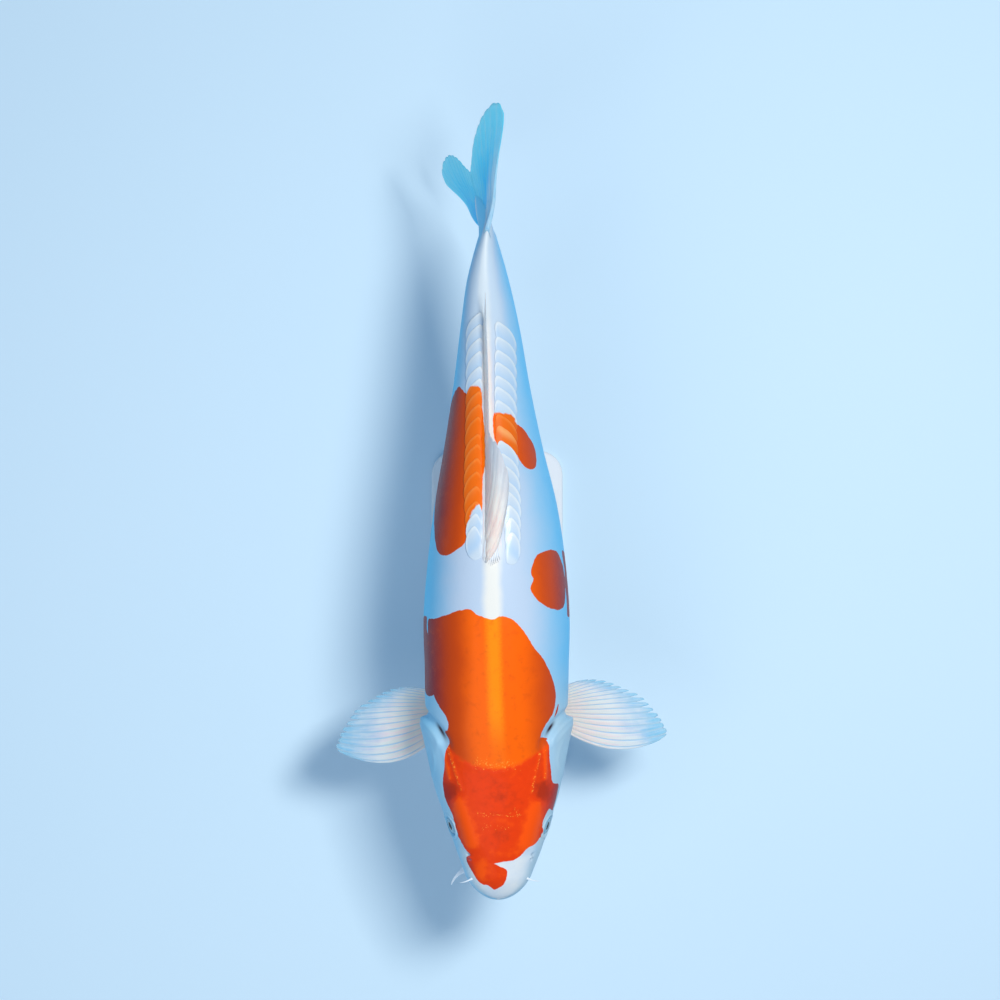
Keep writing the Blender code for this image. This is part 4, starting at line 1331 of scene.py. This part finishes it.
def make_scales(name, side, count, roots, centre, outer, inner, slant, bare, finish):
    """A row of scales: plates laid along the fin, each over the next one behind and tilted up.

    A plate is an ellipse of its length, wider on its outer side than on its inner one. In the
    grid of a from 0 at the root to 1 at the tip and b from -1 inside to 1 outside, it is
    b * sqrt(1 - (2a - 1)^2) wide, and sqrt((2a - 1)^2 + width^2) is 1 all along its edge.
    Centre, outer, inner and slant are (distance behind the snout, value) pairs: the row's place
    round the body in degrees, the plate's two half widths in mm, and how far it drifts outward
    over its length. Bare is the number of the palest scale of the row.
    """
    rng = np.random.default_rng(11 if side > 0 else 12)
    order = np.arange(count)
    root = (roots[0] + (roots[1] - roots[0]) * order / (count - 1) + rng.uniform(-0.6, 0.6, count)) * MM
    length = SCALE_LENGTH * rng.uniform(0.95, 1.05, count)[:, None, None]
    wide, narrow, lag, middle = (
        through(root / MM, *pairs)[:, None, None] for pairs in (outer, inner, slant, centre))
    a = 0.5 - 0.5 * np.cos(np.linspace(0, math.pi, SCALE_ROWS))[None, :, None]
    b = np.sin(np.linspace(-math.pi / 2, math.pi / 2, SCALE_COLUMNS))[None, None, :]
    width = b * np.sqrt(np.clip(1 - (2 * a - 1) ** 2, 4e-4, 1))
    across = width * np.where(b > 0, wide, narrow) + lag * length / MM * a
    along = root[:, None, None] + length * (a - SCALE_SHEAR * width)
    around = side * (np.radians(middle) + across / girth(along, np.ones_like(along)))
    normal = body_normal(along, around)
    lift = 0.10 + 1.25 * a + 0.30 * (1 - b**2)
    upper = body_point(along, around) + (lift * MM)[..., None] * normal
    lower = upper - (SCALE_THICKNESS * MM) * normal
    points = np.concatenate([upper, lower], axis=1).reshape(-1, 3)
    one = sheet_quads(SCALE_ROWS, SCALE_COLUMNS)[:, ::-side]
    faces = (one[None] + (one.max() + 1) * order[:, None, None]).reshape(-1, 4)
    home = skin_uv(root, side * np.radians(middle.ravel()))
    inside = np.stack(np.broadcast_arrays(a[0] - 0.5, b[0] / 2), -1).reshape(-1, 2) * SCALE_PATCH
    point_uv = (home[:, None] + np.tile(inside, (2, 1))[None]).reshape(-1, 2)
    both = np.concatenate([along, along], axis=1)
    turn = np.concatenate([around, around], axis=1)
    mark = marking(both, turn).reshape(count, -1)
    mark = 0.35 * mark + 0.65 * mark.mean(1)[:, None]
    pale = rng.uniform(0, 0.3, count) + (order == bare)
    spread = np.ones((count, 2 * SCALE_ROWS, SCALE_COLUMNS))
    values = {
        "along": both / MM,
        "around": np.degrees(turn),
        "marking": mark,
        "nape": 60 * spread,
        "tone": 0 * spread,
        "specks": 0 * spread,
        "free": np.tile(a + 0 * across, (1, 2, 1)),
        "rim": np.tile(np.hypot(2 * a - 1, width) + 0 * across, (1, 2, 1)),
        "pale": pale[:, None, None] * spread,
    }
    make_piece(name, points, [(faces, point_uv[faces])], values, finish)


print("a scale has", len(sheet_quads(SCALE_ROWS, SCALE_COLUMNS)), "faces")

# %% [markdown]
# A scale takes the colour of the skin under it, a little lighter and more even. The part that lies
# in the shade of the scale in front is painted cooler, and a painted highlight runs as a pale rim
# round the free edge. Fine growth rings show in the relief.

# %% Scale finish
PLAIN_WHITE = (0.62, 0.71, 0.77)
COOL_WHITE = (0.40, 0.58, 0.78)
LIT_ORANGE = (0.82, 0.165, 0.002)
PALE_ORANGE = (0.98, 0.46, 0.16)
WHITE_RIM_HIGHLIGHT = (0.80, 0.84, 0.84)
ORANGE_RIM_HIGHLIGHT = (0.98, 0.30, 0.05)
scale_finish = Finish("koi_scale", Specular_IOR_Level=0.2, Coat_Weight=0.15, Coat_Roughness=0.12)
colour, red, fine, cloud = skin_colours(scale_finish)
free = scale_finish.attribute("free")
rim = scale_finish.attribute("rim")
pale = scale_finish.attribute("pale")
# Painted highlight: a pale rim round the free edge of each scale, fainter on orange ones.
edge = (rim + (fine - 0.5) * 0.05).step(0.72, 0.96) * (free - 0.2 * red).step(0.35, 0.6)
plain = scale_finish.blend(0.65, colour, PLAIN_WHITE)
# Painted shade: cooler where the scale in front shades this one.
cool = scale_finish.blend(free.step(0.90, 0.45) * free.step(0.18, 0.45) * 0.7, plain, COOL_WHITE)
lit = scale_finish.blend(0.6, colour, LIT_ORANGE)
lit = scale_finish.blend((pale * free.step(0.5, 0.95)).step(0.0, 1.4) * 0.9, lit, PALE_ORANGE)
colour = scale_finish.blend(red, cool, lit)
rim_highlight_colour = scale_finish.blend(red, WHITE_RIM_HIGHLIGHT, ORANGE_RIM_HIGHLIGHT)
colour = scale_finish.blend(edge * (0.55 - 0.1 * red), colour, rim_highlight_colour)
rings = (rim * 46.0).wave()
scale_finish.set("Base Color", colour)
scale_finish.set("Roughness", 0.30 + 0.1 * fine)
scale_finish.set("Normal", scale_finish.relief(rings * 0.4 + fine * 0.4, 0.10 * MM, 0.35))
print("scale finish:", len(scale_finish.tree.nodes), "nodes")

# %% [markdown]
# The row on the fish's left is seen full on and has the wider plates. The one on its right turns
# away with the roll of the back.

# %% The two rows of scales
SCALE_COUNT = 17
SLANT = ((299, 0.34), (340, 0.22), (400, 0.06), (484, 0.0))
NO_SCALE = -1
make_scales(
    "koi_scales_left", 1, SCALE_COUNT, (296, 477),
    centre=((299, 14), (338, 15), (390, 17), (443, 24), (484, 33)),
    outer=((299, 9), (338, 14), (390, 17.5), (443, 19), (484, 19)),
    inner=((299, 4), (338, 5.5), (390, 7), (443, 7.5), (484, 7.5)),
    slant=SLANT, bare=8, finish=scale_finish,
)
make_scales(
    "koi_scales_right", -1, SCALE_COUNT, (300, 487),
    centre=((306, 6), (342, 7.5), (393, 9.5), (440, 10.5), (494, 12)),
    outer=((306, 10), (342, 14), (393, 14.5), (440, 15), (494, 16)),
    inner=((306, 4), (342, 5.5), (393, 5.3), (440, 6), (494, 6)),
    slant=SLANT, bare=NO_SCALE, finish=scale_finish,
)

# %% [markdown]
# ## Eyes
# A carp's eye is a ball with a flat iris: a black pupil, a thin gold ring, then silver turning to
# white. A clear dome of cornea lies over it. A painted ball would do from afar, but the flat iris
# under a clear dome is what makes an eye look wet. Both are profiles turned about the eye's axis.

# %% Turned pieces
EYE_RINGS, EYE_SPOKES = 40, 48


def once_round(spokes):
    """Turns of the spokes of a ring."""
    return np.arange(spokes) * 2 * math.pi / spokes


def ring_values(data, spokes):
    """Values of rings as values of points. The first and the last belong to the two poles."""
    return np.concatenate([np.repeat(data[1:-1], spokes), data[[0, -1]]])


def make_turned(name, centre, axis, radius, height, finish, replaces=()):
    """A closed turned piece: radii and heights along its axis in mm, first and last on the axis."""
    first = unit(np.cross([0.0, 1.0, 0.0], axis))
    second = np.cross(axis, first)
    spin = once_round(EYE_SPOKES)[:, None]
    circle = np.cos(spin) * first + np.sin(spin) * second
    rings = centre + MM * (radius[1:-1, None, None] * circle + height[1:-1, None, None] * axis)
    ends = centre + MM * height[[0, -1], None] * axis
    u = np.arange(1, len(rings) + 1) / (len(rings) + 1)
    v = np.arange(EYE_SPOKES + 1) / EYE_SPOKES
    values = {"from_axis": ring_values(radius, EYE_SPOKES)}
    make_tube(name, rings, ends, u, v, values, finish, way=-1, slot="eye_dark", replaces=replaces)


# %% [markdown]
# The finish of the eye reads one value, the distance from the axis in mm, so its rings are round
# however the eye sits. The cornea is almost clear, and its hard gloss gives the eye its glint.

# %% Finish of the eyes
PUPIL_EDGE, GOLD_EDGE, IRIS_EDGE = (3.35, 3.55), (3.5, 4.1), (7.1, 7.8)
PUPIL_BLACK = (0.004, 0.005, 0.012)
IRIS_GOLD, IRIS_SILVER, IRIS_FLECK = (0.62, 0.54, 0.36), (0.46, 0.78, 0.95), (0.34, 0.50, 0.64)
IRIS_RIM, EYE_WHITE = (0.12, 0.24, 0.36), (0.50, 0.74, 0.88)
eye_finish = Finish("koi_eye", Roughness=0.4, Specular_IOR_Level=0.05)
from_axis = eye_finish.attribute("from_axis")
flecks = eye_finish.noise(900, 3)
silvery = (from_axis + (flecks - 0.5) * 0.6).step(*GOLD_EDGE)
iris = eye_finish.blend(silvery, IRIS_GOLD, IRIS_SILVER)
iris = eye_finish.blend((flecks - 0.45).step(0.0, 0.4) * 0.25, iris, IRIS_FLECK)
iris = eye_finish.blend(from_axis.step(6.4, 7.2) * 0.15, iris, IRIS_RIM)
white = eye_finish.blend(from_axis.step(*IRIS_EDGE), iris, EYE_WHITE)
eye_finish.set("Base Color", eye_finish.blend(from_axis.step(*PUPIL_EDGE), PUPIL_BLACK, white))
eye_finish.set("Metallic", 0.35 * from_axis.step(3.5, 4.2) * from_axis.step(7.2, 6.6))
cornea_finish = Finish("koi_cornea", Roughness=0.03, Coat_Weight=0.5, Coat_Roughness=0.02, Alpha=0.12)
cornea_finish.set("Base Color", (0.05, 0.09, 0.14))
print("pupil up to", PUPIL_EDGE[0], "mm, iris up to", IRIS_EDGE[0], "mm from the axis")

# %% Eyes
EYE_RADIUS, IRIS_RADIUS = 10.0, 7.0
IRIS_FLATNESS = 0.88
DOME_STEPS, DOME_RADIUS, DOME_HEIGHT = 15, 7.6, 2.7
ball_turn = np.linspace(0, math.pi, EYE_RINGS)
ball_radius = EYE_RADIUS * np.sin(ball_turn)
ball_height = EYE_RADIUS * np.cos(ball_turn)
flat_height = EYE_RADIUS * math.cos(math.asin(IRIS_RADIUS / EYE_RADIUS)) + 0.5
ball_height = ball_height - IRIS_FLATNESS * np.maximum(ball_height - flat_height, 0)
dome_turn = np.linspace(0, 1, DOME_STEPS) * math.pi / 2
dome_out = DOME_RADIUS * np.sin(dome_turn)
dome_radius = np.concatenate([dome_out, dome_out[-2::-1]])
dome_top = DOME_HEIGHT * np.cos(dome_turn)
dome_height = flat_height - 0.5 + np.concatenate([dome_top, dome_top[-2::-1] * 0.8 - 0.15])
for word, centre in EYE_CENTRES.items():
    axis = EYE_AXES[word]
    make_turned(f"koi_eye_{word}", centre, axis, ball_radius, ball_height, eye_finish, (f"eye_{word}",))
    make_turned(f"koi_cornea_{word}", centre, axis, dome_radius, dome_height, cornea_finish)

# %% [markdown]
# ## Feelers
# Two short feelers hang from the upper lip and two longer ones from the corners of the mouth. Each
# is a round profile carried along a bent path, swollen at its root where it grows out of the lip.
# A cone would look stuck on, so the path leaves the lip outwards before it bends.

# %% Feelers
FEELER_SPOKES, FEELER_RINGS = 16, 26
FEELER_SUNK, FEELER_EXTRA = 1.2, 1.5
feeler_finish = Finish("koi_feeler", Roughness=0.35, Coat_Weight=0.6, Coat_Roughness=0.1)
tip_share = feeler_finish.attribute("reach") + (feeler_finish.noise(300, 3) - 0.5) * 0.3
feeler_colour = feeler_finish.blend(tip_share.step(0.1, 0.9), (0.74, 0.82, 0.90), (0.80, 0.86, 0.90))
feeler_finish.set("Base Color", feeler_colour)


def make_feeler(name, side, along, around, length, radius, spread, bend):
    """A tapered feeler: leaves the lip outwards by its spread, then bends.

    Its root is sunk into the lip, and its length in mm is what stands out of it. The thickness
    falls to a fifth at the tip and swells to almost double at the root.
    """
    root_along, root_around = np.array(along * MM), np.array(side * math.radians(around))
    outward = body_normal(root_along, root_around)
    t = np.linspace(0, 1, FEELER_RINGS)[:, None]
    path = body_point(root_along, root_around) - FEELER_SUNK * MM * outward
    leaving = outward * spread * (t - 0.45 * t**2)
    bending = np.array(bend) * np.array([side, 1, 1]) * t**1.6
    path = path + (length + FEELER_EXTRA) * MM * (leaving + bending)
    ahead = unit(np.gradient(path, axis=0))
    first = unit(np.cross(ahead, np.array([0.3, 0.2, 1.0])))
    second = np.cross(ahead, first)
    spin = once_round(FEELER_SPOKES)[None, :, None]
    circle = np.cos(spin) * first[:, None] + np.sin(spin) * second[:, None]
    thick = radius * MM * (1 - 0.78 * t**0.9 + 0.9 * np.exp(-t * 9)) * np.sqrt(1 - 0.98 * t**12)
    u = np.arange(FEELER_RINGS) / FEELER_RINGS
    v = np.arange(FEELER_SPOKES + 1) / FEELER_SPOKES
    values = {"reach": ring_values(np.concatenate([[0.0], t[:, 0], [1.0]]), FEELER_SPOKES)}
    make_tube(f"koi_{name}", path[:, None] + thick[:, None] * circle, path[[0, -1]], u, v, values,
              feeler_finish, replaces=(name,))


make_feeler("barbel_long_left", 1, 25, 110, 21, 2.3, 0.3, (0.0, 0.2, -0.8))
make_feeler("barbel_long_right", -1, 25, 110, 21, 2.3, 1.0, (0.1, -0.5, -0.5))
make_feeler("barbel_short_left", 1, 18.5, 60, 12, 1.0, 1.0, (0.5, 0.05, -0.45))
make_feeler("barbel_short_right", -1, 18.5, 60, 12, 1.0, 1.0, (0.45, -0.05, -0.45))

# %% [markdown]
# ## The stand
# A museum model stands on a plate with two thin rods into its belly. The plate could be wood or
# glass, but pale satin paint draws the eye least. The base and rods keep their solids and get
# better finishes: paint with a fine orange-peel texture, and steel drawn lengthwise.

# %% Stand finishes
PAINT_PALE, PAINT_GREY = (0.80, 0.83, 0.86), (0.70, 0.74, 0.78)
STEEL_DARK, STEEL_BRIGHT = (0.52, 0.53, 0.55), (0.68, 0.69, 0.70)
paint = Finish("stand_paint", Coat_Weight=0.15, Coat_Roughness=0.3)
speckle = paint.noise(900, 2)
paint.set("Base Color", paint.blend(speckle * 0.25, PAINT_PALE, PAINT_GREY))
paint.set("Roughness", 0.42 + 0.12 * paint.noise(30, 3))
paint.set("Normal", paint.relief(speckle, 0.08 * MM, 0.35))
steel = Finish("stand_steel", Metallic=1.0)
drawn = steel.noise(1400, 2, stretch=(1, 1, 0.03))
steel.set("Base Color", steel.blend(drawn, STEEL_DARK, STEEL_BRIGHT))
steel.set("Roughness", 0.22 + 0.16 * drawn)
steel.set("Normal", steel.relief(drawn, 0.03 * MM, 0.4))
for node, finish in (("stand_base", paint), ("stand_rod_front", steel), ("stand_rod_rear", steel)):
    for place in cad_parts[node].material_slots:
        place.material = finish.material
    print(node, finish.material.name)

# %% [markdown]
# ## Floor
# The fish is seen from straight above, so the floor is the whole background: a plain pale blue,
# very slightly cloudy so that it is no flat tone.

# %% Floor
FLOOR_HALF = 6.0
floor_mesh = bpy.data.meshes.new("studio_floor")
floor_corners = [(x * FLOOR_HALF, y * FLOOR_HALF, 0) for x, y in ((-1, -1), (1, -1), (1, 1), (-1, 1))]
floor_mesh.from_pydata(floor_corners, [], [(0, 1, 2, 3)])
floor = bpy.data.objects.new("studio_floor", floor_mesh)
bpy.context.scene.collection.objects.link(floor)
floor_finish = Finish("studio_floor", Roughness=0.8)
clouds = floor_finish.noise(3, 2)
floor_finish.set("Base Color", floor_finish.blend(clouds, (0.60, 0.78, 0.90), (0.62, 0.79, 0.91)))
floor_mesh.materials.append(floor_finish.material)
print("floor:", 2 * FLOOR_HALF, "m square")

# %% [markdown]
# ## Light
# A broad lamp a little to the fish's left lights the back and leaves the flanks cooler. A weaker,
# wider one lifts the other side, and a pale sky fills the shadows. One bare lamp would give hard
# shadows that hide the form.

# %% Light
SKY_COLOUR, SKY_STRENGTH = (0.34, 0.64, 1.0, 1), 0.40
world = bpy.data.worlds.new("studio_sky")
world.use_nodes = True
sky = world.node_tree.nodes["Background"]
sky.inputs["Color"].default_value = SKY_COLOUR
sky.inputs["Strength"].default_value = SKY_STRENGTH
bpy.context.scene.world = world


def lamp(name, place, target, size, power, colour):
    """A square area lamp that faces a point: sizes in metres, power in watts."""
    data = bpy.data.lights.new(name, "AREA")
    data.shape = "RECTANGLE"
    data.size, data.size_y = size
    data.energy = power
    data.color = colour
    made = bpy.data.objects.new(name, data)
    made.location = place
    aim = np.array(target) - np.array(place)
    made.rotation_euler = Vector(aim).to_track_quat("-Z", "Y").to_euler()
    bpy.context.scene.collection.objects.link(made)
    print(name, "lamp:", power, "W,", round(float(np.linalg.norm(aim)), 2), "m away")


lamp("key", (0.6, 0.45, 2.1), (0, 0.1, 0.2), (0.4, 0.6), 34, (1.0, 0.95, 0.88))
lamp("fill", (-0.6, -1.0, 1.6), (0, -0.1, 0.2), (1.6, 1.2), 10, (1.0, 0.97, 0.93))

# %% [markdown]
# ## Camera
# It hangs high over the middle of the fish and looks straight down through a long lens, so that
# head and tail are seen from above alike.

# %% Camera
CAMERA_HEIGHT = 4.0
CAMERA_OVER = (2.6 * MM, 104.9 * MM)
camera_data = bpy.data.cameras.new("camera")
camera_data.lens = 164
camera_data.sensor_width = 36
camera = bpy.data.objects.new("camera", camera_data)
camera.location = (*CAMERA_OVER, AXIS_HEIGHT + CAMERA_HEIGHT)
bpy.context.scene.collection.objects.link(camera)
bpy.context.scene.camera = camera
bpy.context.scene.view_settings.view_transform = "Standard"
print("camera at", tuple(round(place, 3) for place in camera.location))
